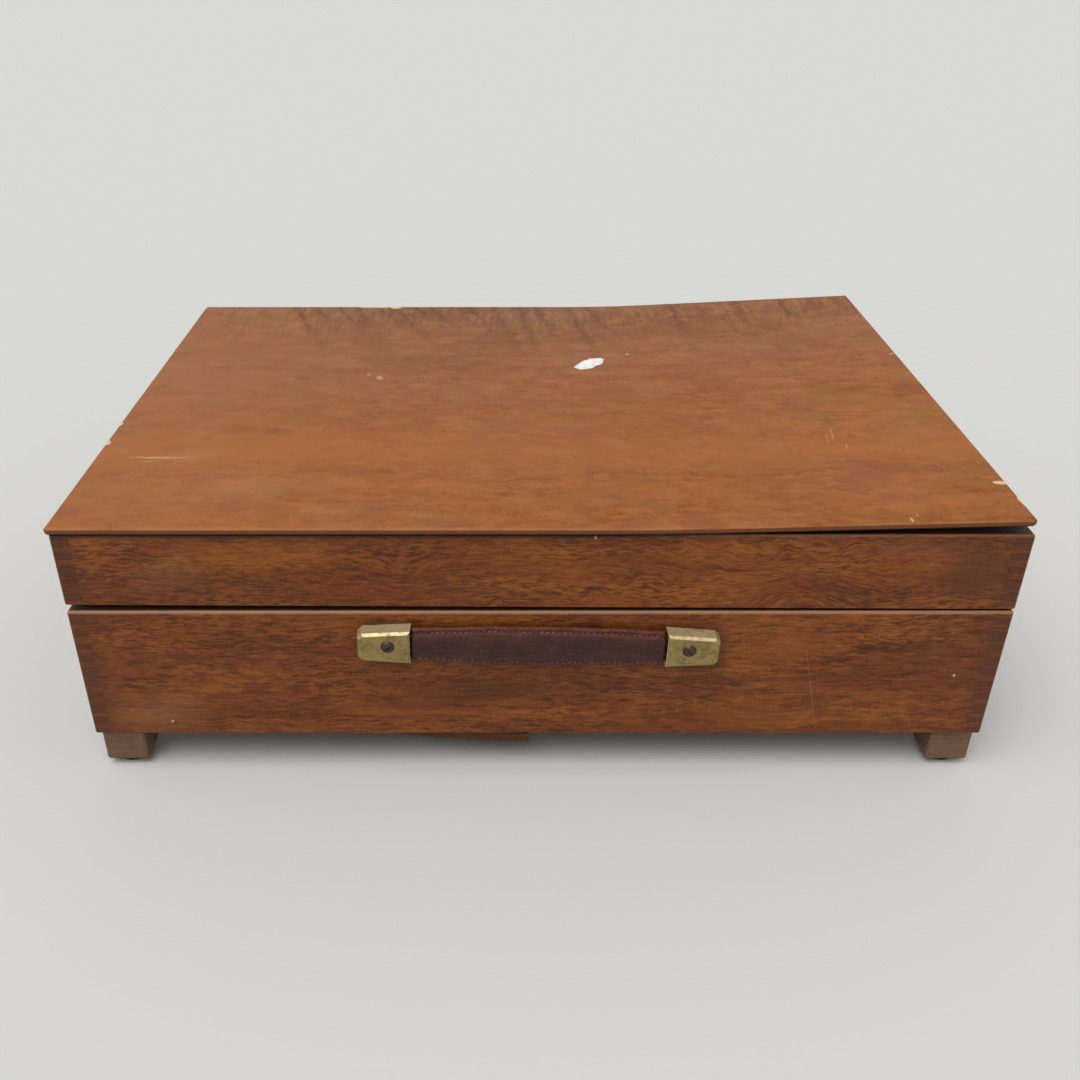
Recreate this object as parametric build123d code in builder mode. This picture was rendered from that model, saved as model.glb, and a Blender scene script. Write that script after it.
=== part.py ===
from build123d import *
import math
import os

os.makedirs("parts", exist_ok=True)

# A carrying case of oak boards with machine-cut comb joints, a hinged lid, four block feet
# and a leather carrying strap held in two brass caps.  Millimetres; +X along the front from
# left to right, +Y from the front to the back, +Z up, Z = 0 on the ground under the feet.

# ---------------------------------------------------------------- driving dimensions
case_width = 505.0
case_depth = 352.0
board_thickness = 9.5
base_height = 84.0           # base frame, underside to rim
closed_height = 131.0        # underside of the base to the top edge of the lid frame
front_gap_left = 4.3         # the lid is racked: the seam is wider at the left front corner
front_gap_right = 1.6
back_gap = 2.5
saw_kerf = 3.2               # the closed box was sawn apart, which shifts the joint pattern
edge_ease = 1.0              # chamfer on the long outer arrises
corner_ease = 1.0            # chamfer on the upright corners

finger_height = 4.2          # comb joint: one finger; the pitch is twice this

foot_width = 24.0
foot_height = 21.7
foot_inset = 2.4
foot_corner = 1.2            # chamfer on the upright edges
foot_toe = 1.6               # chamfer on the lower edges
glide_radius = 8.0
glide_thickness = 3.5

bottom_lip = 3.5             # wood left outside the rebate for the bottom panel
bottom_thickness = 5.5
split_start = -130.0         # the bottom panel has split and sags between these two places
split_end = -5.0
split_depth = 42.0           # from the panel's front edge
split_sag = 8.2
split_crack = 0.6            # width of the crack around the sagging tongue

panel_thickness = 4.8        # the lid's top panel
panel_overhang = 1.5         # past the frame at the front, the back and the left
panel_short = 1.8            # at the right it has shrunk back from the end of the frame
panel_nosing = 1.4           # chamfer along the panel's edges
curl_run = 220.0             # over this far from its right edge the panel has come up
curl_bend = 60.0             # length of the bend, beyond which it rises straight
curl_front = 5.2             # how far it stands up at the front right corner
curl_back = 9.4              # and at the back right corner

floor_lining_thickness = 1.5
lid_lining_thickness = 1.0
lining_edge = 0.2
lining_clearance = 0.3
lining_glue = 0.2

lid_opening = 100.0          # degrees; the planed back edges meet here
stop_clearance = 0.15        # from the hinge line to each planed edge
hinge_from_end = 85.0        # end of the case to the middle of a hinge
hinge_length = 40.0
hinge_leaf_thickness = 1.2
knuckle_radius = 2.5
knuckle_count = 3
knuckle_gap = 0.3
hinge_pin_radius = 1.0
pin_fixed_clearance = 0.02   # in the base leaf
pin_running_clearance = 0.06  # in the lid leaf
mortise_clearance = 0.1
hinge_clearance = 0.3

pilot_clearance = 0.03       # round the shank of every screw and pin
driver_slot_width = 0.8
driver_slot_depth = 0.9

handle_below_rim = 19.5      # rim of the base to the middle of the handle
handle_offset = -0.9         # middle of the handle from the middle of the case
handle_skew = 0.95           # degrees; the right end hangs lower
handle_half = 97.4           # handle centre to the outer end of a cap
cap_length = 29.0
cap_mouth_height = 21.6
cap_end_height = 17.8
cap_depth = 8.6              # how far a cap stands off the board
cap_wall = 1.1
cap_draft = 3.0              # degrees
cap_outer_corner = 2.6       # chamfer on the two outer corners
cap_edge = 1.3               # depth of the bevel round the front of a cap
cap_bevel = 45.0             # degrees
cap_screw_from_mouth = 12.3
cap_screw_rise = 1.2         # above the middle of the cap
handle_screw_radius = 1.9
handle_screw_bite = 8.0      # length in the board
handle_head_radius = 3.75
handle_head_height = 2.0

strap_middle_height = 23.8
strap_end_height = 20.2
strap_thickness = 4.6
strap_standoff = 1.0
strap_edge = 1.6
strap_clearance = 0.35
strap_tongue_height = 13.6
strap_tongue_thickness = 3.0
strap_tongue_length = 19.5   # inside the cap
strap_slide = 3.4            # each end can draw this far out of its cap

hook_from_front = 92.0
hook_below_rim = 12.0
hook_reach = 26.0            # pivot to peg
hook_thickness = 2.0
hook_eye_radius = 4.6
hook_head_radius = 5.8
hook_shank_width = 4.8
hook_slot = 5.0
hook_play = 0.15
hook_pin_radius = 1.6
hook_bore_clearance = 0.06
hook_washer_thickness = 0.8
hook_washer_radius = 4.4
pivot_head_height = 1.8
pivot_head_radius = 4.0
peg_radius = 1.8
peg_head_radius = 3.4
peg_head_height = 1.6
peg_clearance = 0.3
side_screw_bite = 7.5

# ---------------------------------------------------------------- places worked out from them
case_bottom = foot_height + glide_thickness
rim_z = case_bottom + base_height
frame_top = case_bottom + closed_height
half_width = case_width / 2
front_reach = cap_depth + handle_head_height
case_front = (front_reach - panel_overhang - case_depth) / 2
case_back = case_front + case_depth
case_middle = (case_front + case_back) / 2
inner_front = case_front + board_thickness
inner_back = case_back - board_thickness
inner_half_width = half_width - board_thickness
pitch = 2 * finger_height
comb_rows = int(closed_height / pitch) + 2
lid_first_row = int((base_height + saw_kerf) / pitch) + 1
lid_comb_start = case_bottom + front_gap_right - saw_kerf
hinge_y = case_back - knuckle_radius
hinge_z = rim_z + back_gap / 2
panel_left = -half_width - panel_overhang
panel_right = half_width - panel_short
curl_start = panel_right - curl_run
hinge_centres = {"left": hinge_from_end - half_width, "right": half_width - hinge_from_end}


def save(piece, name):
    """Label a finished piece and write it as its own file."""
    piece.label = name
    export_step(piece, f"parts/{name}.step")


# ---------------------------------------------------------------- screws, axis +Z, seat at Z = 0
def round_head_screw(shank_radius, length, head_radius, head_height):
    """A domed screw whose head sits on Z = 0, with a driver slot across it."""
    with BuildPart() as screw:
        with BuildSketch(Plane.XZ):
            with BuildLine():
                TangentArc((0, head_height), (head_radius, 0), tangent=(1, 0))
                Polyline(
                    (head_radius, 0),
                    (shank_radius - pilot_clearance, 0),
                    (shank_radius - pilot_clearance, -length),
                    (0, -length),
                    (0, head_height),
                )
            make_face()
        revolve(axis=Axis.Z)
        with BuildSketch(Plane.XY.offset(head_height)):
            Rectangle(2 * head_radius, driver_slot_width)
        extrude(amount=-driver_slot_depth, mode=Mode.SUBTRACT)
    return screw.part


def headed_pin(shank_radius, length, head_radius, head_height):
    """A turned pin with a plain disc for a head."""
    with BuildPart() as pin:
        Cylinder(head_radius, head_height, align=(Align.CENTER, Align.CENTER, Align.MIN))
        Cylinder(
            shank_radius - pilot_clearance, length, align=(Align.CENTER, Align.CENTER, Align.MAX)
        )
    return pin.part


# ---------------------------------------------------------------- shapes shared by the boards
def eased_box(low_z, high_z, eased_faces):
    """The outside of a frame between two heights, its upright corners and some rims eased."""
    with BuildPart() as box:
        with BuildSketch(Plane.XY.offset(low_z)):
            with Locations((0, case_middle)):
                Rectangle(case_width, case_depth)
        extrude(amount=high_z - low_z)
        chamfer(box.edges().filter_by(Axis.Z), corner_ease)
        for index in eased_faces:
            chamfer(box.faces().sort_by(Axis.Z)[index].edges(), edge_ease)
    return box.part


base_form = eased_box(case_bottom, rim_z, (0, -1))
lid_form = eased_box(rim_z, frame_top, (-1,))


def comb_slots(middle, span, first_row, start, row_offset, run_out=0.0):
    """Slots at both ends of a board's face sketch; row_offset is 0 or 1 finger.

    The lowest slot runs down by run_out, where the saw cut has left only part of a finger.
    """
    for row in range(first_row, comb_rows):
        extra = run_out if row == first_row else 0.0
        low = start + row * pitch + row_offset * finger_height - extra
        with Locations((middle - span / 2, low), (middle + span / 2, low)):
            Rectangle(
                2 * board_thickness,
                finger_height + extra,
                align=(Align.CENTER, Align.MIN),
                mode=Mode.SUBTRACT,
            )


def back_stop(side):
    """What is planed off the back arris of the base (side -1) or lid (+1) at the stop angle."""
    slope = math.radians(90 - lid_opening / 2)
    edge_y = hinge_y - stop_clearance * math.cos(slope)
    edge_z = hinge_z + side * stop_clearance * math.sin(slope)
    with BuildPart() as shaving:
        with BuildSketch(Plane.YZ.offset(-half_width)):
            with Locations((edge_y, edge_z)):
                Rectangle(
                    2 * board_thickness,
                    board_thickness,
                    rotation=side * lid_opening / 2,
                    align=(Align.CENTER, Align.MIN if side < 0 else Align.MAX),
                )
        extrude(amount=case_width)
    return shaving.part


def hinge_mortises(side):
    """The leaf and knuckle recesses of both hinges in one back board."""
    seat = rim_z if side < 0 else rim_z + back_gap
    long = hinge_length + 2 * mortise_clearance
    with BuildPart() as mortises:
        with BuildSketch(Plane.XY.offset(seat)):
            for centre in hinge_centres.values():
                with Locations((centre, inner_back)):
                    Rectangle(long, hinge_y - inner_back, align=(Align.CENTER, Align.MIN))
        extrude(amount=side * hinge_leaf_thickness)
        for centre in hinge_centres.values():
            with BuildSketch(Plane.YZ.offset(centre - long / 2)):
                with Locations((hinge_y, hinge_z)):
                    Circle(knuckle_radius + hinge_clearance)
            extrude(amount=long)
    return mortises.part


# ---------------------------------------------------------------- base frame
def long_board_face(lower, upper, first_row, start):
    """Face sketch of a front or back board between two edge heights (left, right)."""
    with BuildSketch() as board_face:
        with BuildLine():
            Polyline(
                (-half_width, lower[0]),
                (half_width, lower[1]),
                (half_width, upper),
                (-half_width, upper),
                (-half_width, lower[0]),
            )
        make_face()
        comb_slots(0, case_width, first_row, start, 0)
    return board_face.sketch


def side_board_face(lower, upper, first_row, start):
    """Face sketch of a side board between two edge heights (front, back)."""
    with BuildSketch() as board_face:
        with BuildLine():
            Polyline(
                (case_front, lower[0]),
                (case_back, lower[1]),
                (case_back, upper),
                (case_front, upper),
                (case_front, lower[0]),
            )
        make_face()
        run_out = finger_height if first_row > 0 else 0.0
        comb_slots(case_middle, case_depth, first_row, start, 1, run_out)
    return board_face.sketch


# The rebate that takes the bottom panel, run round the inside of the lower edge.
with BuildPart() as bottom_rebate:
    with BuildSketch(Plane.XY.offset(case_bottom)):
        with Locations((0, case_middle)):
            Rectangle(case_width - 2 * bottom_lip, case_depth - 2 * bottom_lip)
    extrude(amount=bottom_thickness)

handle_plane = Plane(
    origin=(handle_offset, case_front, rim_z - handle_below_rim),
    x_dir=(math.cos(math.radians(handle_skew)), 0, -math.sin(math.radians(handle_skew))),
    z_dir=(0, -1, 0),
)
cap_mouth = handle_half - cap_length
cap_screw_x = cap_mouth + cap_screw_from_mouth
handle_screw_seats = [
    Plane(
        origin=handle_plane.from_local_coords((x, cap_screw_rise, cap_depth)),
        x_dir=turn,
        z_dir=(0, -1, 0),
    )
    for x, turn in ((-cap_screw_x, (0.8, 0, 0.6)), (cap_screw_x, (0.6, 0, -0.8)))
]
handle_screw_length = cap_depth + handle_screw_bite

pivot_z = rim_z - hook_below_rim
hook_y = case_front + hook_from_front
pivot_stack = hook_washer_thickness + hook_thickness + 2 * hook_play
peg_stack = hook_washer_thickness + hook_play + hook_thickness + peg_clearance


def side_plane(side, height, stand_off=0.0):
    """A plane on the left (-1) or right (+1) end of the case, facing outwards."""
    return Plane(
        origin=(side * (half_width + stand_off), hook_y, height),
        x_dir=(0, side, 0),
        z_dir=(side, 0, 0),
    )


base_edge = (case_bottom, case_bottom)

with BuildPart() as base_front_board:
    add(base_form)
    with BuildSketch(Plane.XZ.offset(-inner_front)):
        add(long_board_face(base_edge, rim_z, 0, case_bottom))
    extrude(amount=board_thickness, mode=Mode.INTERSECT)
    add(bottom_rebate.part, mode=Mode.SUBTRACT)
    for seat in handle_screw_seats:
        with Locations(seat.offset(-cap_depth)):
            Hole(handle_screw_radius, depth=handle_screw_bite + pilot_clearance)
save(base_front_board.part, "base_front_board")

with BuildPart() as base_back_board:
    add(base_form)
    with BuildSketch(Plane.XZ.offset(-case_back)):
        add(long_board_face(base_edge, rim_z, 0, case_bottom))
    extrude(amount=board_thickness, mode=Mode.INTERSECT)
    add(bottom_rebate.part, mode=Mode.SUBTRACT)
    add(back_stop(-1), mode=Mode.SUBTRACT)
    add(hinge_mortises(-1), mode=Mode.SUBTRACT)
save(base_back_board.part, "base_back_board")

for side, name in ((-1, "base_left_board"), (1, "base_right_board")):
    start_x = -half_width if side < 0 else inner_half_width
    with BuildPart() as base_side_board:
        add(base_form)
        with BuildSketch(Plane.YZ.offset(start_x)):
            add(side_board_face(base_edge, rim_z, 0, case_bottom))
        extrude(amount=board_thickness, mode=Mode.INTERSECT)
        add(bottom_rebate.part, mode=Mode.SUBTRACT)
        add(back_stop(-1), mode=Mode.SUBTRACT)
        with Locations(side_plane(side, pivot_z)):
            Hole(hook_pin_radius, depth=side_screw_bite + pilot_clearance)
    save(base_side_board.part, name)

# The bottom panel.  A tongue of it has split away along two cracks and sags at its free end.
panel_front = case_front + bottom_lip
panel_top = case_bottom + bottom_thickness

with BuildPart() as bottom_panel:
    with BuildSketch(Plane.XY.offset(case_bottom)):
        with Locations((0, case_middle)):
            Rectangle(case_width - 2 * bottom_lip, case_depth - 2 * bottom_lip)
        with Locations((split_start, panel_front)):
            Rectangle(
                split_end - split_start + split_crack,
                split_depth + split_crack,
                align=(Align.MIN, Align.MIN),
                mode=Mode.SUBTRACT,
            )
    extrude(amount=bottom_thickness)
save(bottom_panel.part, "bottom_panel")

with BuildPart() as bottom_split_tongue:
    with BuildSketch(Plane.XZ.offset(-(panel_front + split_depth))):
        with BuildLine():
            for z in (case_bottom, panel_top):
                halfway = ((split_start + split_end) / 2, z - split_sag / 2)
                TangentArc((split_start, z), halfway, tangent=(1, 0))
                TangentArc((split_end, z - split_sag), halfway, tangent=(-1, 0))
            Line((split_start, case_bottom), (split_start, panel_top))
            Line((split_end, case_bottom - split_sag), (split_end, panel_top - split_sag))
        make_face()
    extrude(amount=split_depth)
save(bottom_split_tongue.part, "bottom_split_tongue")

with BuildPart() as floor_lining:
    with BuildSketch(Plane.XY.offset(panel_top)):
        with Locations((0, case_middle)):
            Rectangle(
                2 * (inner_half_width - lining_clearance),
                inner_back - inner_front - 2 * lining_clearance,
            )
    extrude(amount=floor_lining_thickness)
save(floor_lining.part, "floor_lining")

# ---------------------------------------------------------------- feet and glides
foot_x = half_width - foot_inset - foot_width / 2
foot_y = case_depth / 2 - foot_inset - foot_width / 2
corners = {
    "front_left": (-foot_x, case_middle - foot_y),
    "front_right": (foot_x, case_middle - foot_y),
    "back_left": (-foot_x, case_middle + foot_y),
    "back_right": (foot_x, case_middle + foot_y),
}

for corner, (x, y) in corners.items():
    with BuildPart() as foot:
        with BuildSketch(Plane((x, y, case_bottom), z_dir=(0, 0, -1))):
            Rectangle(foot_width, foot_width)
            chamfer(vertices(), foot_corner)
        extrude(amount=foot_height)
        chamfer(foot.faces().sort_by(Axis.Z)[0].edges(), foot_toe)
    save(foot.part, f"foot_{corner}")

    with BuildPart() as glide:
        with BuildSketch(Plane((x, y, 0))):
            Circle(glide_radius)
        extrude(amount=glide_thickness)
    save(glide.part, f"foot_glide_{corner}")


# ---------------------------------------------------------------- butt hinges
def hinge_leaf(centre, side):
    """One leaf: side -1 is let into the base rim, side +1 into the lid."""
    seat = rim_z if side < 0 else rim_z + back_gap
    own = range(0 if side < 0 else 1, knuckle_count, 2)
    bore = hinge_pin_radius + (pin_fixed_clearance if side < 0 else pin_running_clearance)
    left_end = centre - hinge_length / 2
    step = hinge_length / knuckle_count
    plate_width = hinge_y - knuckle_radius - hinge_clearance - inner_back
    grow = Align.MAX if side < 0 else Align.MIN
    with BuildPart() as leaf:
        with BuildSketch(Plane.YZ.offset(left_end)):
            with Locations((inner_back, seat)):
                Rectangle(plate_width, hinge_leaf_thickness, align=(Align.MIN, grow))
        extrude(amount=hinge_length)
        for knuckle in own:
            start_x = left_end + knuckle * step + knuckle_gap / 2
            with BuildSketch(Plane.YZ.offset(start_x)):
                with Locations((hinge_y, hinge_z)):
                    Circle(knuckle_radius)
                with Locations((inner_back, seat)):
                    Rectangle(hinge_y - inner_back, hinge_leaf_thickness, align=(Align.MIN, grow))
            extrude(amount=step - knuckle_gap)
        with BuildSketch(Plane.YZ.offset(left_end)):
            with Locations((hinge_y, hinge_z)):
                Circle(bore)
        extrude(amount=hinge_length, mode=Mode.SUBTRACT)
    return leaf.part


for hand, centre in hinge_centres.items():
    save(hinge_leaf(centre, -1), f"{hand}_hinge_base_leaf")
    save(hinge_leaf(centre, 1), f"{hand}_hinge_lid_leaf")

    with BuildPart() as hinge_pin:
        with BuildSketch(Plane.YZ.offset(centre - hinge_length / 2)):
            with Locations((hinge_y, hinge_z)):
                Circle(hinge_pin_radius)
        extrude(amount=hinge_length)
    save(hinge_pin.part, f"{hand}_hinge_pin")

# ---------------------------------------------------------------- lid frame
front_edge = (rim_z + front_gap_left, rim_z + front_gap_right)
back_edge = rim_z + back_gap

with BuildPart() as lid_front_board:
    add(lid_form)
    with BuildSketch(Plane.XZ.offset(-inner_front)):
        add(long_board_face(front_edge, frame_top, lid_first_row, lid_comb_start))
    extrude(amount=board_thickness, mode=Mode.INTERSECT)
save(lid_front_board.part, "lid_front_board")

with BuildPart() as lid_back_board:
    add(lid_form)
    with BuildSketch(Plane.XZ.offset(-case_back)):
        add(long_board_face((back_edge, back_edge), frame_top, lid_first_row, lid_comb_start))
    extrude(amount=board_thickness, mode=Mode.INTERSECT)
    add(back_stop(1), mode=Mode.SUBTRACT)
    add(hinge_mortises(1), mode=Mode.SUBTRACT)
save(lid_back_board.part, "lid_back_board")

peg_z = pivot_z + hook_reach
for side, name, low_front in (
    (-1, "lid_left_board", front_edge[0]),
    (1, "lid_right_board", front_edge[1]),
):
    start_x = -half_width if side < 0 else inner_half_width
    with BuildPart() as lid_side_board:
        add(lid_form)
        with BuildSketch(Plane.YZ.offset(start_x)):
            add(
                side_board_face(
                    (low_front, back_edge), frame_top, lid_first_row - 1, lid_comb_start
                )
            )
        extrude(amount=board_thickness, mode=Mode.INTERSECT)
        add(back_stop(1), mode=Mode.SUBTRACT)
        with Locations(side_plane(side, peg_z)):
            Hole(peg_radius, depth=side_screw_bite + pilot_clearance)
    save(lid_side_board.part, name)


# ---------------------------------------------------------------- top panel, curled at the right
def curl_rise(x, lift):
    """How far the straight part has risen at x, when it rises by lift at the right edge."""
    return lift * (x - curl_start - curl_bend / 2) / (curl_run - curl_bend / 2)


def curled_section(y, left, right, low_z, thickness, ease):
    """Cross-section at y of a sheet with chamfered ends: flat, then a bend, then straight up."""
    share = (y - case_front + panel_overhang) / (case_depth + 2 * panel_overhang)
    lift = curl_front + (curl_back - curl_front) * share
    high_z = low_z + thickness
    bend_end = curl_start + curl_bend
    bend_rise = curl_rise(bend_end, lift)
    rise = curl_rise(right - ease, lift)
    end_rise = curl_rise(right, lift)
    with BuildSketch() as section:
        with BuildLine():
            Polyline(
                (left, high_z - ease),
                (left, low_z + ease),
                (left + ease, low_z),
                (curl_start, low_z),
            )
            TangentArc((curl_start, low_z), (bend_end, low_z + bend_rise), tangent=(1, 0))
            Polyline(
                (bend_end, low_z + bend_rise),
                (right - ease, low_z + rise),
                (right, low_z + ease + end_rise),
                (right, high_z - ease + end_rise),
                (right - ease, high_z + rise),
                (bend_end, high_z + bend_rise),
            )
            TangentArc((curl_start, high_z), (bend_end, high_z + bend_rise), tangent=(1, 0))
            Polyline((curl_start, high_z), (left + ease, high_z), (left, high_z - ease))
        make_face()
    return section.sketch


def curled_sheet(front, back, left, right, low_z, thickness, ease):
    """A curled sheet between its four edges, chamfered by ease all the way round."""
    thin = thickness - 2 * ease
    with BuildPart() as sheet:
        for y, inset, depth, end_ease in (
            (front, ease, thin, thin / 4),
            (front + ease, 0, thickness, ease),
            (back - ease, 0, thickness, ease),
            (back, ease, thin, thin / 4),
        ):
            with BuildSketch(Plane.XZ.offset(-y)):
                add(curled_section(y, left + inset, right - inset, low_z + inset, depth, end_ease))
        loft(ruled=True)
    return sheet.part


lid_top_panel = curled_sheet(
    case_front - panel_overhang,
    case_back + panel_overhang,
    panel_left,
    panel_right,
    frame_top,
    panel_thickness,
    panel_nosing,
)
save(lid_top_panel, "lid_top_panel")

lining_half = inner_half_width - lining_clearance
lid_lining = curled_sheet(
    inner_front + lining_clearance,
    inner_back - lining_clearance,
    -lining_half,
    lining_half,
    frame_top - lining_glue - lid_lining_thickness,
    lid_lining_thickness,
    lining_edge,
)
save(lid_lining, "lid_lining")


# ---------------------------------------------------------------- handle: caps, screws, strap
def cap_outline(side, inset, past_mouth):
    """A cap seen from the front: tall at the mouth, tapering to an outer end with cut corners."""
    mouth = side * (cap_mouth - past_mouth)
    end = side * (handle_half - inset)
    spread = (cap_mouth_height - cap_end_height) / 2 / cap_length
    tall = cap_mouth_height / 2 - inset + spread * past_mouth
    low = cap_end_height / 2 - inset
    with BuildSketch() as outline:
        with BuildLine():
            Polyline((mouth, tall), (end, low), (end, -low), (mouth, -tall), (mouth, tall))
        make_face()
        outer = vertices().group_by(Axis.X)[-1 if side > 0 else 0]
        chamfer(outer, cap_outer_corner)
    return outline.sketch


for side, name in ((-1, "left_handle_cap"), (1, "right_handle_cap")):
    with BuildPart() as handle_cap:
        with BuildSketch(handle_plane):
            add(cap_outline(side, 0, 0))
        extrude(amount=cap_depth - cap_edge, taper=cap_draft)
        extrude(handle_cap.faces().sort_by(Axis.Y)[0], amount=cap_edge, taper=cap_bevel)
        with BuildSketch(handle_plane):
            add(cap_outline(side, cap_wall, cap_length))
        extrude(amount=cap_depth - cap_wall, taper=cap_draft, mode=Mode.SUBTRACT)
        with Locations(handle_screw_seats[0 if side < 0 else 1]):
            Hole(handle_screw_radius, depth=2 * cap_wall)
    save(handle_cap.part, name)

with BuildPart() as handle_screws:
    with Locations(*handle_screw_seats):
        add(
            round_head_screw(
                handle_screw_radius, handle_screw_length, handle_head_radius, handle_head_height
            )
        )
save(handle_screws.part, "handle_screws")

with BuildPart() as leather_strap:
    shoulder = cap_mouth - strap_clearance
    with BuildSketch(handle_plane.offset(strap_standoff)):
        with BuildLine():
            ThreePointArc(
                (-shoulder, strap_end_height / 2),
                (0, strap_middle_height / 2),
                (shoulder, strap_end_height / 2),
            )
            Line((shoulder, strap_end_height / 2), (shoulder, -strap_end_height / 2))
            ThreePointArc(
                (shoulder, -strap_end_height / 2),
                (0, -strap_middle_height / 2),
                (-shoulder, -strap_end_height / 2),
            )
            Line((-shoulder, -strap_end_height / 2), (-shoulder, strap_end_height / 2))
        make_face()
    extrude(amount=strap_thickness)
    chamfer(leather_strap.faces().sort_by(Axis.Y)[0].edges().filter_by(GeomType.CIRCLE), strap_edge)
    with BuildSketch(handle_plane.offset(strap_standoff)):
        tongue_half = cap_mouth + strap_tongue_length
        Rectangle(2 * tongue_half, strap_tongue_height)
        for side in (-1, 1):
            with Locations((side * (cap_screw_x + strap_slide / 2), cap_screw_rise)):
                slot_radius = handle_screw_radius + strap_clearance
                SlotOverall(strap_slide + 2 * slot_radius, 2 * slot_radius, mode=Mode.SUBTRACT)
    extrude(amount=strap_tongue_thickness)
save(leather_strap.part, "leather_strap")


# ---------------------------------------------------------------- swing hooks on the two ends
for side, hand in ((-1, "left"), (1, "right")):
    toward_front = -side
    hook_plane = side_plane(side, pivot_z, hook_washer_thickness + hook_play)
    with BuildPart() as hook:
        with BuildSketch(hook_plane):
            Circle(hook_eye_radius)
            with Locations((0, -hook_reach / 2)):
                Rectangle(hook_shank_width, hook_reach)
            with Locations((0, -hook_reach)):
                Circle(hook_head_radius)
            with Locations((toward_front * hook_head_radius, -hook_reach)):
                SlotOverall(
                    2 * hook_head_radius + hook_slot, hook_slot, mode=Mode.SUBTRACT
                )
            Circle(hook_pin_radius + hook_bore_clearance, mode=Mode.SUBTRACT)
        extrude(amount=hook_thickness)
    save(hook.part, f"{hand}_hook")

with BuildPart() as hook_washers:
    with BuildSketch(side_plane(-1, pivot_z), side_plane(1, pivot_z)):
        Circle(hook_washer_radius)
        Circle(hook_pin_radius, mode=Mode.SUBTRACT)
    extrude(amount=hook_washer_thickness)
save(hook_washers.part, "hook_washers")

with BuildPart() as hook_pivot_screws:
    with Locations(side_plane(-1, pivot_z, pivot_stack), side_plane(1, pivot_z, pivot_stack)):
        add(
            headed_pin(
                hook_pin_radius, pivot_stack + side_screw_bite, pivot_head_radius, pivot_head_height
            )
        )
save(hook_pivot_screws.part, "hook_pivot_screws")

with BuildPart() as hook_pegs:
    with Locations(side_plane(-1, peg_z, peg_stack), side_plane(1, peg_z, peg_stack)):
        add(headed_pin(peg_radius, peg_stack + side_screw_bite, peg_head_radius, peg_head_height))
save(hook_pegs.part, "hook_pegs")
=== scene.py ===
"""An old carrying case of comb-jointed oak: finishes, leather strap, linings and small fastenings."""

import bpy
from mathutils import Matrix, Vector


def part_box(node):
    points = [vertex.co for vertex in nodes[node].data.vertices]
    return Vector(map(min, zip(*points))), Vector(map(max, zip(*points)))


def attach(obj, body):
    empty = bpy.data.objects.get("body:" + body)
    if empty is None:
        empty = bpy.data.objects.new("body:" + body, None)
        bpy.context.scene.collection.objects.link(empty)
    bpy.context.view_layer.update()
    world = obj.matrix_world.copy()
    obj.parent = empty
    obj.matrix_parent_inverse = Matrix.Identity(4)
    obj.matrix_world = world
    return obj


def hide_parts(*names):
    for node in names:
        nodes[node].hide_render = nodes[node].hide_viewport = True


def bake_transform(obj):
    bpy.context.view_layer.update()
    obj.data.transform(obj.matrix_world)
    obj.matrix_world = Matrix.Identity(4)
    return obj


bl_info = {
    "name": "Comb-jointed carrying case",
    "version": (1, 0, 0),
    "blender": (4, 5, 0),
    "location": "View3D > Sidebar > Case",
    "description": "Finishes an oak carrying case with a strap handle, a hinged lid and end hooks",
    "category": "Object",
}

import math

import bmesh
import bpy
from bpy.props import FloatProperty, FloatVectorProperty, PointerProperty
from mathutils import Color, Matrix, Vector, noise
from mathutils.bvhtree import BVHTree

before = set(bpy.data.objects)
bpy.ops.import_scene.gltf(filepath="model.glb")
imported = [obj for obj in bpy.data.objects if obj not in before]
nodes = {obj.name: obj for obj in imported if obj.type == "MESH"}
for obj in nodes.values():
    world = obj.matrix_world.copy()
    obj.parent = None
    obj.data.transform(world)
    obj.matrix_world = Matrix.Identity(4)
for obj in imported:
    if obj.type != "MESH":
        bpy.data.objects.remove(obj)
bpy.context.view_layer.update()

MM = 0.001
PER_MM = 1000.0


# ------------------------------------------------------------------ sizes and colours
def length_property(name, description, millimetres):
    """A length that the panel shows in the scene's unit."""
    return FloatProperty(
        name=name,
        description=description,
        default=millimetres * MM,
        min=0.0,
        subtype="DISTANCE",
        unit="LENGTH",
        precision=5,
    )


def linear(hex_colour):
    """The linear RGB of an sRGB hex colour."""
    levels = [int(hex_colour[i : i + 2], 16) / 255 for i in (1, 3, 5)]
    return [v / 12.92 if v <= 0.04045 else ((v + 0.055) / 1.055) ** 2.4 for v in levels]


def colour_property(name, description, hex_colour):
    """A colour written as sRGB hex and kept as linear RGB."""
    return FloatVectorProperty(
        name=name,
        description=description,
        default=linear(hex_colour),
        min=0.0,
        max=1.0,
        size=3,
        subtype="COLOR",
    )


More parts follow.
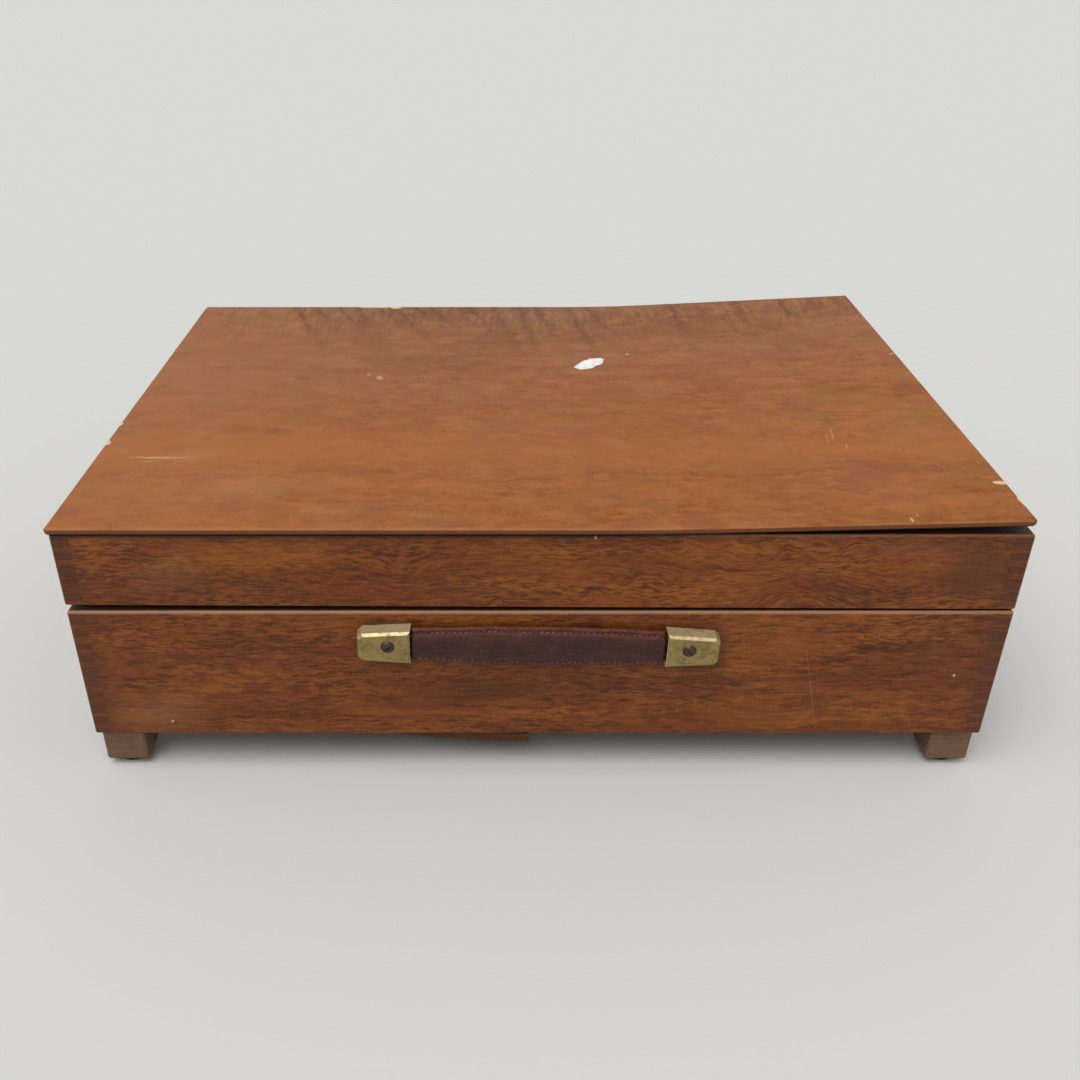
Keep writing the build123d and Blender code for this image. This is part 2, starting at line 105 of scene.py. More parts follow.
class CaseSizes(bpy.types.PropertyGroup):
    """Sizes of what is added to the case."""

    strap_end_height: length_property("Strap end height", "Width of the strap at its caps", 21.2)
    strap_middle_height: length_property("Strap middle height", "Width at its middle", 25.2)
    strap_thickness: length_property("Strap thickness", "From its back to its crown", 5.2)
    strap_edge_thickness: length_property("Strap edge", "Thickness outside the stitches", 3.2)
    strap_drop: length_property("Strap drop", "Its middle below the middle of the caps", 0.8)
    strap_tongue_height: length_property("Strap tongue", "Width of the ends inside the caps", 13.0)
    stitch_inset: length_property("Stitch inset", "From the strap's edge to the stitches", 2.7)
    stitch_pitch: length_property("Stitch pitch", "From one stitch to the next", 3.1)
    thread_thickness: length_property("Thread", "Thickness of the sewing thread", 0.75)
    handle_skew: FloatProperty(
        name="Handle skew",
        description="How far the right end of the handle hangs below level",
        default=math.radians(0.95),
        subtype="ANGLE",
        unit="ROTATION",
    )
    arris: length_property("Arris", "Rounding of the edges of wood", 0.35)
    metal_arris: length_property("Metal arris", "Rounding of the edges of metal", 0.25)
    lining_thickness: length_property("Baize thickness", "Thickness of both linings", 0.9)
    screw_head: length_property("Screw head", "Width of a hinge screw's head", 4.2)
    screw_spread: length_property("Screw spread", "Between the two screws of a leaf", 24.0)


class CaseColours(bpy.types.PropertyGroup):
    """Colours of the finishes."""

    oak_light: colour_property("Oak, light", "Stained oak between its flecks", "#91511A")
    oak_pale: colour_property("Oak, pale", "The palest flecks between the dark ones", "#9E6531")
    oak_deep: colour_property("Oak, deep", "Stained oak where the stain is deeper", "#773D17")
    oak_ruddy: colour_property("Oak, ruddy", "Redder patches of the stain", "#7D381A")
    oak_fleck: colour_property("Oak, fleck", "The short dark flecks", "#40200C")
    oak_corner: colour_property("Oak, corner", "Handled corners and end grain", "#57301F")
    oak_worn: colour_property("Oak, worn", "Arrises rubbed through the stain", "#B08264")
    oak_dust: colour_property("Oak, dusty", "Dry and dusty varnish", "#8C6A4C")
    # Grime is also laid on as painted shade: under the top's edge, on the boards' upper and lower
    # faces, under the top and round the handle caps.
    grime: colour_property("Grime", "Old dirt on sawn edges and in joints", "#241712")
    top_warm: colour_property("Top, warm", "The top's orange brown", "#8E5122")
    top_pale: colour_property("Top, pale", "The paler bands of the top", "#9D5A27")
    top_ruddy: colour_property("Top, ruddy", "Redder patches of the top", "#85451F")
    # This colour is a painted reflection of the grey surroundings in the varnish toward the back.
    top_bloom: colour_property("Top, bloom", "The dulled varnish toward the back", "#764A2D")
    top_veil: colour_property("Top, veil", "The dusty varnish on the left", "#A9683C")
    top_olive: colour_property("Top, olive", "Patches where the stain is yellower", "#8F6029")
    top_mauve: colour_property("Top, mauve", "Patches where the stain is duller", "#8E5033")
    top_band: colour_property("Top, band", "The brightest band of the top", "#A9622C")
    # Also the painted highlight along the top's upper arris.
    top_haze: colour_property("Top, haze", "Scuffed varnish", "#AE7C52")
    top_dark: colour_property("Top, dark", "Checks and squiggles in the top", "#542E18")
    top_edge: colour_property("Top, edge", "The stained edges of the plies", "#734629")
    raw_wood: colour_property("Raw wood", "Where the surface is chipped off", "#D9B78C")
    chalk: colour_property("Chalk", "The white chip in the top", "#F4F2EF")
    chalk_smeared: colour_property("Chalk, smeared", "Dirt in the white chip", "#B9ADB0")
    plywood: colour_property("Plywood", "The underside", "#7D5A3E")
    split: colour_property("Split", "The split edge of the underside", "#55331F")
    foot: colour_property("Foot", "The block feet", "#765A46")
    leather: colour_property("Leather", "The strap's dark brown", "#351B13")
    leather_warm: colour_property("Leather, warm", "Where the dye has faded", "#4C2A20")
    leather_worn: colour_property("Leather, worn", "The strap's rubbed edges", "#6B3224")
    leather_dust: colour_property("Leather, dusty", "Dry scratches in the strap", "#8C6C60")
    leather_crease: colour_property("Leather, crease", "Dirt in the creases", "#2A1813")
    thread: colour_property("Thread", "Sewing thread, dirty", "#8C5A48")
    cap_brass: colour_property("Cap brass", "Brass of the handle caps", "#C4A96C")
    cap_tarnish: colour_property("Cap tarnish", "Its olive tarnish", "#6A5A2C")
    # Also the painted highlight on the brass's edges and upper faces.
    brass_rubbed: colour_property("Brass, rubbed", "Edges rubbed bright by hands", "#DDD0B2")
    hardware_brass: colour_property("Hardware brass", "Hinges and hooks", "#D2B47A")
    steel: colour_property("Steel", "Browned steel screws", "#4B423A")
    rust: colour_property("Rust", "A little rust on the screws", "#5A3522")
    rubber: colour_property("Rubber", "The foot glides", "#1E1C1B")
    rubber_scuffed: colour_property("Rubber, scuffed", "Where they rub the floor", "#55504A")
    baize: colour_property("Baize", "Green wool cloth", "#2F5A3C")
    baize_nap: colour_property("Baize, nap", "Its raised fibres", "#3C6B49")
    baize_faded: colour_property("Baize, faded", "Where light has bleached it", "#5F7358")
    lint: colour_property("Lint", "Specks of lint on the baize", "#A8A794")
    floor: colour_property("Floor", "The studio floor", "#D3D3D0")
    backdrop: colour_property("Backdrop", "What stands behind the floor", "#DADAD6")


# ------------------------------------------------------------------ materials
# A Map Range takes a value, the two bounds it comes from, of which the first may be the larger,
# and the two it goes to, as its inputs 0 to 4. With this setting it eases in and out.
EASED = {"interpolation_type": "SMOOTHSTEP"}
# How far one step of a board's seed moves its grain, in millimetres.
SEED_STEPS = (137.0, 61.0, 29.0)
# A mark reaches right through its board.
RIGHT_THROUGH = 1000.0


def add_node(tree, kind, inputs=None, **settings):
    """Adds a shader node, sets it, and links each input that is a node or a socket."""
    made = tree.nodes.new("ShaderNode" + kind)
    for name, value in settings.items():
        setattr(made, name, value)
    for name, value in (inputs or {}).items():
        if isinstance(value, bpy.types.Node):
            value = next(output for output in value.outputs if output.enabled)
        if isinstance(value, bpy.types.NodeSocket):
            tree.links.new(value, made.inputs[name])
        elif isinstance(value, Color):
            made.inputs[name].default_value = (*value, 1.0)
        else:
            made.inputs[name].default_value = value
    return made


def blank_material(name):
    """A material with nothing in it yet, its node tree and the colours to choose from."""
    material = bpy.data.materials.new(name)
    material.use_nodes = True
    material.node_tree.nodes.clear()
    return material, material.node_tree, bpy.context.scene.case_colours


def finish(material, colour, relief, strength, depth, surface):
    """Gives a material its colour, a relief with its depth in millimetres, and its surface."""
    tree = material.node_tree
    bump = add_node(tree, "Bump", {"Strength": strength, "Distance": depth * MM, "Height": relief})
    look = {"Base Color": colour, "Normal": bump, **surface}
    add_node(tree, "OutputMaterial", {"Surface": add_node(tree, "BsdfPrincipled", look)})
    return material


def grain_space(tree, along, seed=0):
    """Millimetres along the grain, across it and through the board, shifted by a seed."""
    coordinates = add_node(tree, "TexCoord")
    place = add_node(tree, "SeparateXYZ", {0: coordinates.outputs["Object"]})
    order = {"X": "XZY", "Y": "YZX", "TOP": "XYZ"}[along]
    turned = add_node(tree, "CombineXYZ", {i: place.outputs[axis] for i, axis in enumerate(order)})
    inputs = {0: turned, 1: (PER_MM,) * 3, 2: [seed * step for step in SEED_STEPS]}
    return add_node(tree, "VectorMath", inputs, operation="MULTIPLY_ADD")


def grain_noise(tree, place, sizes, detail=2.0, roughness=0.5, distortion=0.0):
    """A noise whose patches measure sizes (along, across, through) in millimetres."""
    shrink = [1 / size for size in sizes]
    scaled = add_node(tree, "VectorMath", {0: place, 1: shrink}, operation="MULTIPLY")
    look = {"Scale": 1.0, "Detail": detail, "Roughness": roughness, "Distortion": distortion}
    return add_node(tree, "TexNoise", {"Vector": scaled, **look})


def wavy_grain(tree, place, sway, sway_length, curl, curl_length):
    """The grain space with its across direction swayed slowly and, in places, curled quickly."""
    slow = grain_noise(tree, place, (sway_length, sway_length / 2.5, sway_length), 1.0)
    quick = grain_noise(tree, place, (curl_length, curl_length * 1.4, curl_length), 1.0)
    patches = grain_noise(tree, place, (90.0, 60.0, 60.0), 1.0)
    where = add_node(tree, "MapRange", {0: patches, 1: 0.45, 2: 0.62}, **EASED)
    swayed = add_node(tree, "Math", {0: slow, 1: sway, 2: -sway / 2}, operation="MULTIPLY_ADD")
    curled = add_node(tree, "Math", {0: quick, 1: curl, 2: -curl / 2}, operation="MULTIPLY_ADD")
    both = add_node(tree, "Math", {0: curled, 1: where, 2: swayed}, operation="MULTIPLY_ADD")
    return add_node(
        tree, "VectorMath", {0: place, 1: add_node(tree, "CombineXYZ", {"Y": both})}, operation="ADD"
    )


def ellipse_reach(tree, place, centre, half_size, turn):
    """How far out a place is in an ellipse: 0 at its middle, 1 on its outline."""
    inputs = {
        "Vector": place,
        "Location": (*centre, 0.0),
        "Rotation": (0.0, 0.0, turn),
        "Scale": (*half_size, RIGHT_THROUGH),
    }
    local = add_node(tree, "Mapping", inputs, vector_type="TEXTURE")
    return add_node(tree, "VectorMath", {0: local}, operation="LENGTH")


def ragged_spot(tree, place, centre, half_size, turn=0.0, rag=0.35, rag_size=3.0, soft=0.18):
    """A ramp that is up inside an ellipse of these half sizes in millimetres with a ragged edge.

    The turn is in degrees; soft is the share of the ellipse over which the ramp rises.
    """
    reach = ellipse_reach(tree, place, centre, half_size, math.radians(turn))
    edge = grain_noise(tree, place, (rag_size,) * 3)
    rough = add_node(tree, "Math", {0: edge, 1: rag * 2, 2: reach}, operation="MULTIPLY_ADD")
    return rough, 1.0 + rag, 1.0 + rag - soft


def coat(tree, under, over, amount, *ramps):
    """One colour laid over another, amount thick where every ramp is up.

    A ramp is a value, where it starts to rise and where it is up.
    """
    for value, start, end in ramps:
        ramp = add_node(tree, "MapRange", {0: value, 1: start, 2: end}, **EASED)
        amount = add_node(tree, "Math", {0: ramp, 1: amount}, operation="MULTIPLY")
    return add_node(tree, "MixRGB", {0: amount, 1: under, 2: over})


def noisy_coats(tree, colour, place, *coats):
    """Coats laid in turn, each where a noise of its own rises.

    A coat is its colour and amount, then its noise's start, end, sizes, detail and roughness.
    """
    for over, amount, start, end, *pattern in coats:
        colour = coat(tree, colour, over, amount, (grain_noise(tree, place, *pattern), start, end))
    return colour


def oak_board(name, along, seed, sway, curl, depth, marks=(), calm=(), arches=()):
    """Quarter-sawn oak, planed, stained and varnished: dense short dark flecks on orange brown.

    depth from 0 to 1 deepens the stain. Each mark is a colour, its middle and half size along
    and up the board, its turn, softness and strength. calm lists patches with hardly a fleck,
    and arches the places where the grain rises in an arch: middle, half size and rise.
    """
    material, tree, colours = blank_material(name)
    place = grain_space(tree, along, seed)
    spots = grain_space(tree, along)
    waved = wavy_grain(tree, place, sway, 75.0, curl, 13.0)
    for centre, half_size, rise in arches:
        shape = {"rag": 0.2, "rag_size": 20.0, "soft": 1.2}
        value, start, end = ragged_spot(tree, spots, centre, half_size, **shape)
        hump = add_node(tree, "MapRange", {0: value, 1: start, 2: end, 4: -rise}, **EASED)
        lift = add_node(tree, "CombineXYZ", {"Y": hump})
        waved = add_node(tree, "VectorMath", {0: waved, 1: lift}, operation="ADD")

    broad = grain_noise(tree, waved, (120.0, 17.0, 40.0))
    stain = add_node(tree, "MapRange", {0: broad, 1: 0.36, 2: 0.64, 3: depth}, **EASED)
    colour = coat(tree, colours.oak_light, colours.oak_deep, stain)
    ruddy = (colours.oak_ruddy, 0.55, 0.47, 0.66, (48.0, 10.0, 20.0), 3.0, 0.6)
    blots = (colours.oak_fleck, 0.5, 0.5, 0.68, (15.0, 3.6, 6.0), 3.0, 0.6)
    colour = noisy_coats(tree, colour, waved, ruddy, blots)
    streaks = grain_noise(tree, waved, (40.0, 1.9, 6.0), 3.0, 0.6)
    colour = coat(tree, colour, colours.oak_fleck, 0.4, (streaks, 0.46, 0.7))
    colour, fleck_rise = board_flecks(tree, colour, waved, spots, calm)
    for shade, centre, half_size, turn, soft, amount in marks:
        shape = {"rag": 0.5, "rag_size": 1.5 * min(half_size), "soft": soft}
        spot = ragged_spot(tree, spots, centre, half_size, turn, **shape)
        colour = coat(tree, colour, getattr(colours, shade), amount, spot)
    colour = board_ends(tree, colour, along, place)
    colour = board_edges(tree, colour, place)

    # A satin varnish, rubbed unevenly, over open grain.
    rub = grain_noise(tree, place, (60.0, 30.0, 30.0), 3.0)
    gloss = add_node(tree, "MapRange", {0: rub, 1: 0.3, 2: 0.7, 3: 0.4, 4: 0.56})
    relief = add_node(tree, "Math", {0: fleck_rise, 1: -1.0, 2: streaks}, operation="MULTIPLY_ADD")
    surface = {"Roughness": gloss, "Specular IOR Level": 0.25}
    return finish(material, colour, relief, 0.35, 0.12, surface)


def board_flecks(tree, colour, waved, spots, calm):
    """Short dark flecks over a level that sinks where they crowd together, pale well under it.

    Returns the colour, and how far each place is above the level where a fleck begins.
    """
    colours = bpy.context.scene.case_colours
    flecks = grain_noise(tree, waved, (6.4, 1.35, 3.0), 3.0, 0.58)
    crowd = grain_noise(tree, waved, (45.0, 9.0, 20.0))
    level = add_node(tree, "Math", {0: crowd, 1: -0.24, 2: 0.64}, operation="MULTIPLY_ADD")
    rise = add_node(tree, "Math", {0: flecks, 1: level}, operation="SUBTRACT")
    colour = coat(tree, colour, colours.oak_pale, 0.4, (rise, -0.1, -0.26))
    gathered = grain_noise(tree, waved, (80.0, 24.0, 30.0))
    swing = {0: gathered, 1: 0.38, 2: 0.6, 3: 0.4, 4: 0.76}
    strength = add_node(tree, "MapRange", swing, **EASED)
    for centre, half_size, stillness in calm:
        shape = {"rag": 0.6, "rag_size": 16.0, "soft": 0.9}
        value, start, end = ragged_spot(tree, spots, centre, half_size, **shape)
        stir = {0: value, 1: start, 2: end, 3: 1.0, 4: 1.0 - stillness}
        stirred = add_node(tree, "MapRange", stir, **EASED)
        strength = add_node(tree, "Math", {0: strength, 1: stirred}, operation="MULTIPLY")
    return coat(tree, colour, colours.oak_fleck, strength, (rise, -0.06, 0.1)), rise


def board_ends(tree, colour, along, place):
    """End grain, speckled with pores, that drank more stain, and corners darkened by hands."""
    colours = bpy.context.scene.case_colours
    coordinates = add_node(tree, "TexCoord")
    facing = add_node(tree, "SeparateXYZ", {0: coordinates.outputs["Normal"]})
    end = add_node(tree, "Math", {0: facing.outputs[along]}, operation="ABSOLUTE")
    pores = grain_noise(tree, place, (6.0, 0.7, 0.7), 2.0, 0.7)
    end_colour = coat(tree, colours.oak_corner, colours.oak_fleck, 0.6, (pores, 0.45, 0.65))
    colour = coat(tree, colour, end_colour, 0.75, (end, 0.55, 0.75))
    where = add_node(tree, "SeparateXYZ", {0: coordinates.outputs["Object"]})
    out = add_node(tree, "Math", {0: where.outputs["X"]}, operation="ABSOLUTE")
    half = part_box("base_front_board")[1].x
    uneven = grain_noise(tree, place, (5.0, 6.0, 6.0))
    reach = add_node(tree, "Math", {0: uneven, 1: 9 * MM, 2: out}, operation="MULTIPLY_ADD")
    corner = (reach, half - 15 * MM, half - 3 * MM)
    return coat(tree, colour, colours.oak_corner, 0.5, corner)


def board_edges(tree, colour, place):
    """The base's upper arris rubbed, painted shadow under the top's edge, and painted shade on the
    boards' upper and lower faces.
    """
    colours = bpy.context.scene.case_colours
    coordinates = add_node(tree, "TexCoord")
    where = add_node(tree, "SeparateXYZ", {0: coordinates.outputs["Object"]})
    facing = add_node(tree, "SeparateXYZ", {0: coordinates.outputs["Normal"]})
    across, height = where.outputs["X"], where.outputs["Z"]
    wear = grain_noise(tree, place, (24.0, 3.0, 3.0), 3.0, 0.6)
    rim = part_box("base_front_board")[1].z
    under_rim = (height, rim - 2.3 * MM, rim - 0.8 * MM)
    over_rim = (height, rim + 0.6 * MM, rim + 0.1 * MM)
    colour = coat(tree, colour, colours.oak_worn, 0.64, under_rim, over_rim, (wear, -0.3, 0.42))
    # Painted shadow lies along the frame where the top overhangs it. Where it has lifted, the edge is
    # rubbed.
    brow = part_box("lid_front_board")[1].z
    overhang_shadow = (height, brow - 2.8 * MM, brow - 0.8 * MM)
    colour = coat(tree, colour, colours.grime, 0.7, overhang_shadow, (across, 110 * MM, 30 * MM))
    edge = (height, brow - 1.5 * MM, brow - 0.4 * MM)
    colour = coat(tree, colour, colours.oak_dust, 0.5, edge, (across, 30 * MM, 110 * MM))
    # Painted shade: the boards' upper and lower faces are darkened, as in the gaps under the lid and
    # under the top.
    level = add_node(tree, "Math", {0: facing.outputs["Z"]}, operation="ABSOLUTE")
    return coat(tree, colour, colours.grime, 0.8, (level, 0.86, 0.97))


# Marks in the two front boards: colour, middle, half size, turn, softness, strength.
BASE_FRONT_MARKS = (
    ("oak_fleck", (-20.0, 56.0), (96.0, 18.0), 0.0, 0.9, 0.42),
    ("oak_fleck", (210.0, 80.0), (20.0, 16.0), 0.0, 0.9, 0.2),
    ("oak_light", (136.0, 86.0), (36.0, 18.0), 0.0, 0.9, 0.45),
    ("oak_dust", (-212.0, 40.0), (38.0, 20.0), 0.0, 0.9, 0.26),
    ("oak_fleck", (176.0, 66.0), (44.0, 3.4), 2.0, 0.8, 0.4),
    ("oak_fleck", (96.0, 62.0), (24.0, 3.0), -3.0, 0.8, 0.35),
    ("oak_worn", (151.5, 57.0), (0.6, 42.0), 13.0, 0.9, 0.27),
    # These two marks round the caps are painted shadow where the caps stand off the board, with some
    # grime.
    ("grime", (-85.0, 88.5), (27.0, 22.0), 0.0, 0.5, 0.5),
    ("grime", (83.0, 88.0), (27.0, 22.0), 0.0, 0.5, 0.5),
    ("raw_wood", (229.0, 67.0), (0.9, 0.9), 0.0, 0.3, 0.8),
    ("raw_wood", (-207.0, 34.5), (1.0, 1.1), 0.0, 0.3, 0.6),
)
LID_FRONT_MARKS = (
    ("oak_light", (-150.0, 140.0), (70.0, 16.0), 0.0, 0.9, 0.4),
    ("oak_light", (10.0, 136.0), (50.0, 14.0), 0.0, 0.9, 0.25),
    ("oak_dust", (-196.0, 134.0), (34.0, 17.0), 10.0, 0.95, 0.17),
    ("oak_dust", (190.0, 148.0), (40.0, 9.0), 0.0, 0.9, 0.14),
    ("oak_corner", (226.0, 132.0), (28.0, 32.0), 0.0, 0.9, 0.75),
    ("oak_fleck", (26.0, 124.0), (6.5, 1.9), -2.0, 0.6, 0.75),
    ("raw_wood", (27.3, 154.8), (0.8, 1.3), 0.0, 0.3, 0.9),
)
# Patches with few flecks: middle, half size, how still. Arches: middle, half size, rise.
BASE_CALM = (
    ((136.0, 86.0), (36.0, 18.0), 0.85),
    ((115.0, 37.0), (90.0, 15.0), 0.75),
    ((-210.0, 40.0), (44.0, 20.0), 0.75),
    ((-60.0, 44.0), (90.0, 20.0), 0.55),
)
LID_CALM = (((60.0, 140.0), (34.0, 10.0), 0.5), ((205.0, 140.0), (46.0, 16.0), 0.55))
LID_ARCHES = (((139.0, 118.0), (40.0, 26.0), 15.0), ((-72.0, 134.0), (24.0, 18.0), -8.0))

# Marks in the top, in millimetres from the middle of the case. Chips: middle, half size, turn.
CHIPS = (
    ((247.0, -133.0), (4.4, 2.2), -12.0),
    ((250.6, -153.5), (2.4, 6.0), 0.0),
    ((251.0, -112.0), (1.4, 3.0), 0.0),
    ((-252.5, -71.0), (2.0, 3.6), 0.0),
    ((-252.8, -44.0), (1.6, 2.4), 0.0),
    ((-119.0, 181.5), (19.0, 3.2), 0.0),
    ((-104.0, 179.0), (5.0, 3.0), 0.0),
)
# Pale scratches: middle, half size, turn, strength.
SCRATCHES = (
    ((68.0, 74.0), (1.3, 3.4), -8.0, 0.45),
    ((-102.0, 31.0), (3.4, 4.6), 24.0, 0.4),
    ((-110.0, 37.0), (1.6, 2.0), 0.0, 0.3),
    ((-216.0, -91.0), (19.0, 1.5), -1.0, 0.4),
    ((-222.0, -96.0), (8.0, 0.9), 2.0, 0.3),
    ((187.5, -169.5), (0.9, 3.2), 6.0, 0.75),
    ((192.0, -165.0), (0.7, 2.0), -10.0, 0.4),
    ((174.0, -68.0), (0.5, 14.0), -9.0, 0.36),
    ((170.0, -72.0), (0.4, 10.0), -4.0, 0.25),
    ((178.0, -84.0), (0.6, 5.0), -12.0, 0.3),
    ((247.0, 56.0), (3.0, 1.4), 40.0, 0.4),
)
# Dull scuffs and paler clouds of varnish: middle, half size, turn, strength.
SCUFFS = (
    ((-160.0, -128.0), (56.0, 24.0), 6.0, 0.34),
    ((-112.0, -154.0), (34.0, 9.0), 0.0, 0.3),
    ((-64.0, -160.0), (13.0, 4.2), 0.0, 0.45),
    ((-196.0, -88.0), (34.0, 13.0), 3.0, 0.3),
    ((-196.0, -60.0), (20.0, 26.0), 0.0, 0.2),
    ((-142.0, 66.0), (44.0, 16.0), 4.0, 0.3),
    ((205.0, 120.0), (26.0, 30.0), 0.0, 0.2),
)
# Soft patches where the stain took differently: seed, size, colour, strength.
STAIN_PATCHES = (
    (3, (34.0, 22.0, 30.0), "top_olive", 0.55),
    (4, (46.0, 20.0, 30.0), "top_mauve", 0.5),
    (6, (16.0, 8.0, 12.0), "top_olive", 0.34),
    (7, (22.0, 11.0, 12.0), "top_veil", 0.4),
)
# The large white chip and its dirty rim: middle, half size, turn.
WHITE_CHIP = ((40.0, 57.0), (14.6, 7.2), 46.0)
WHITE_CHIP_RIM = ((40.0, 57.0), (15.6, 8.2), 46.0)
# Checks that run in from the back edge: where each starts, its length and its slant, with half
# their width and how far outside the edge they begin.
CHECKS = (
    (-184.0, 62.0, 22.0),
    (-168.0, 36.0, 14.0),
    (-152.0, 40.0, 18.0),
    (-137.0, 46.0, 16.0),
    (-122.0, 34.0, 18.0),
    (-108.0, 52.0, 22.0),
    (-92.0, 30.0, 16.0),
    (-80.0, 44.0, 20.0),
    (-48.0, 34.0, 10.0),
    (-27.0, 66.0, 12.0),
    (-7.0, 74.0, 8.0),
    (5.0, 50.0, 10.0),
    (30.0, 84.0, 12.0),
    (44.0, 40.0, 10.0),
    (110.0, 62.0, 3.0),
    (163.0, 58.0, 0.0),
    (195.0, 56.0, 3.0),
)
CHECK_HALF_WIDTH = 1.8
CHECK_PAST_EDGE = 4.0
# How far its figure and checks wander at most, along the top and across it.
STRAY = (12.0, 6.0, 0.0)


def top_sheet():
    """Thin oak-faced sheet, varnished and bleached: soft bands, checks at the back, chips."""
    material, tree, colours = blank_material("oak_sheet_varnished")
    place = grain_space(tree, "TOP")
    waved = wavy_grain(tree, place, 9.0, 140.0, 2.0, 22.0)
    wander = grain_noise(tree, place, (11.0, 11.0, 11.0), 3.0)
    shift = {0: wander.outputs["Color"], 1: STRAY, 2: place}
    strayed = add_node(tree, "VectorMath", shift, operation="MULTIPLY_ADD")
    fine = grain_noise(tree, waved, (46.0, 1.4, 9.0), 3.0, 0.6)
    clouds = grain_noise(tree, place, (95.0, 60.0, 60.0), 3.0, 0.55)

    bands = grain_noise(tree, waved, (320.0, 20.0, 40.0), 3.0, 0.55)
    colour = coat(tree, colours.top_warm, colours.top_pale, 1.0, (bands, 0.38, 0.62))
    ruddy = (colours.top_ruddy, 0.62, 0.46, 0.66, (38.0, 20.0, 20.0), 3.0, 0.6)
    colour = noisy_coats(tree, colour, place, ruddy)
    mottle = (colours.top_band, 0.68, 0.44, 0.64, (12.0, 4.0, 9.0), 3.0, 0.65)
    colour = noisy_coats(tree, colour, strayed, mottle)
    colour = coat(tree, colour, colours.top_dark, 0.16, (fine, 0.48, 0.7))
    rays = (colours.top_dark, 0.26, 0.5, 0.7, (3.2, 8.0, 9.0), 3.0, 0.65)
    colour = noisy_coats(tree, colour, strayed, rays)
    colour = top_varnish(tree, colour, place, waved, clouds)
    colour, checks = top_checks(tree, colour, place, strayed)
    colour = top_chips(tree, colour, place)
    colour = top_edges(tree, colour, place)

    dull = add_node(tree, "MapRange", {0: clouds, 1: 0.3, 2: 0.7, 3: 0.38, 4: 0.52})
    lines = add_node(tree, "Math", {0: fine, 1: -0.2}, operation="MULTIPLY")
    relief = add_node(tree, "Math", {0: checks, 1: -1.0, 2: lines}, operation="MULTIPLY_ADD")
    surface = {"Roughness": dull, "Specular IOR Level": 0.15}
    return finish(material, colour, relief, 0.4, 0.2, surface)


def top_varnish(tree, colour, place, waved, clouds):
    """Old varnish: greyish toward the back as a painted reflection, dusty on the left, patchy,
    scuffed and crazed.
    """
    colours = bpy.context.scene.case_colours
    where = add_node(tree, "SeparateXYZ", {0: place})
    across, back_and_forth = where.outputs["X"], where.outputs["Y"]
    # Toward the back and the left the varnish is greyed with a painted reflection of the
    # surroundings.
    lean = {0: across, 1: -0.3, 2: back_and_forth}
    slope = add_node(tree, "Math", lean, operation="MULTIPLY_ADD")
    far = add_node(tree, "Math", {0: clouds, 1: 200.0, 2: slope}, operation="MULTIPLY_ADD")
    colour = coat(tree, colour, colours.top_bloom, 0.8, (far, 20.0, 330.0))
    left = add_node(tree, "Math", {0: clouds, 1: -160.0, 2: across}, operation="MULTIPLY_ADD")
    colour = coat(tree, colour, colours.top_veil, 0.5, (left, -140.0, -330.0))
    for seed, sizes, shade, strength in STAIN_PATCHES:
        patches = (getattr(colours, shade), strength, 0.48, 0.66, sizes, 3.0, 0.6)
        colour = noisy_coats(tree, colour, grain_space(tree, "TOP", seed), patches)

    # One paler band lies across the front third.
    waved_y = add_node(tree, "SeparateXYZ", {0: waved}).outputs["Y"]
    band = ((waved_y, -112.0, -88.0), (waved_y, -52.0, -76.0))
    colour = coat(tree, colour, colours.top_band, 0.4, *band)
    for *shape, strength in SCUFFS:
        scuff = ragged_spot(tree, place, *shape, rag=0.6, rag_size=14.0, soft=1.1)
        colour = coat(tree, colour, colours.top_haze, strength, scuff)

    # Thin squiggles where the outline of a noise is followed, broken up by another.
    winding = grain_noise(tree, place, (18.0, 30.0, 30.0), 1.0)
    level = add_node(tree, "Math", {0: winding, 1: 0.5}, operation="SUBTRACT")
    outline = add_node(tree, "Math", {0: level}, operation="ABSOLUTE")
    pieces = grain_noise(tree, place, (17.0, 12.0, 16.0))
    squiggles = ((outline, 0.04, 0.0), (pieces, 0.54, 0.66))
    return coat(tree, colour, colours.top_dark, 0.26, *squiggles)


def top_checks(tree, colour, place, strayed):
    """Checks run in from the back edge, with short flecks and ribbons of figure between them.
    """
    colours = bpy.context.scene.case_colours
    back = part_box("lid_top_panel")[1].y * PER_MM
    reaches = []
    for start, length, slant in CHECKS:
        x = start + (STRAY[0] + slant) / 2
        y = back + CHECK_PAST_EDGE + (STRAY[1] - length) / 2
        half_size = (CHECK_HALF_WIDTH, length / 2)
        turn = math.atan2(slant, length)
        reaches.append(ellipse_reach(tree, strayed, (x, y), half_size, turn))
    nearest = reaches[0]
    for reach in reaches[1:]:
        nearest = add_node(tree, "Math", {0: nearest, 1: reach}, operation="MINIMUM")
    colour = coat(tree, colour, colours.top_dark, 0.26, (nearest, 3.6, 0.6))
    gaps = grain_noise(tree, place, (6.0, 9.0, 9.0))
    ragged = add_node(tree, "MapRange", {0: gaps, 1: 0.3, 2: 0.55}, **EASED)
    whole = add_node(tree, "MapRange", {0: nearest, 1: 1.35, 2: 0.2}, **EASED)
    checks = add_node(tree, "Math", {0: whole, 1: ragged}, operation="MULTIPLY")
    dark = add_node(tree, "Math", {0: checks, 1: 0.6}, operation="MULTIPLY")
    colour = coat(tree, colour, colours.top_dark, dark)

    figure = grain_noise(tree, strayed, (3.2, 26.0, 9.0), 2.0, 0.6)
    back_and_forth = add_node(tree, "SeparateXYZ", {0: place}).outputs["Y"]
    along_back = (back_and_forth, back - 95.0, back - 25.0)
    colour = coat(tree, colour, colours.top_dark, 0.34, (figure, 0.5, 0.66), along_back)
    colour = coat(tree, colour, colours.top_haze, 0.34, (figure, 0.44, 0.3), along_back)
    return colour, checks


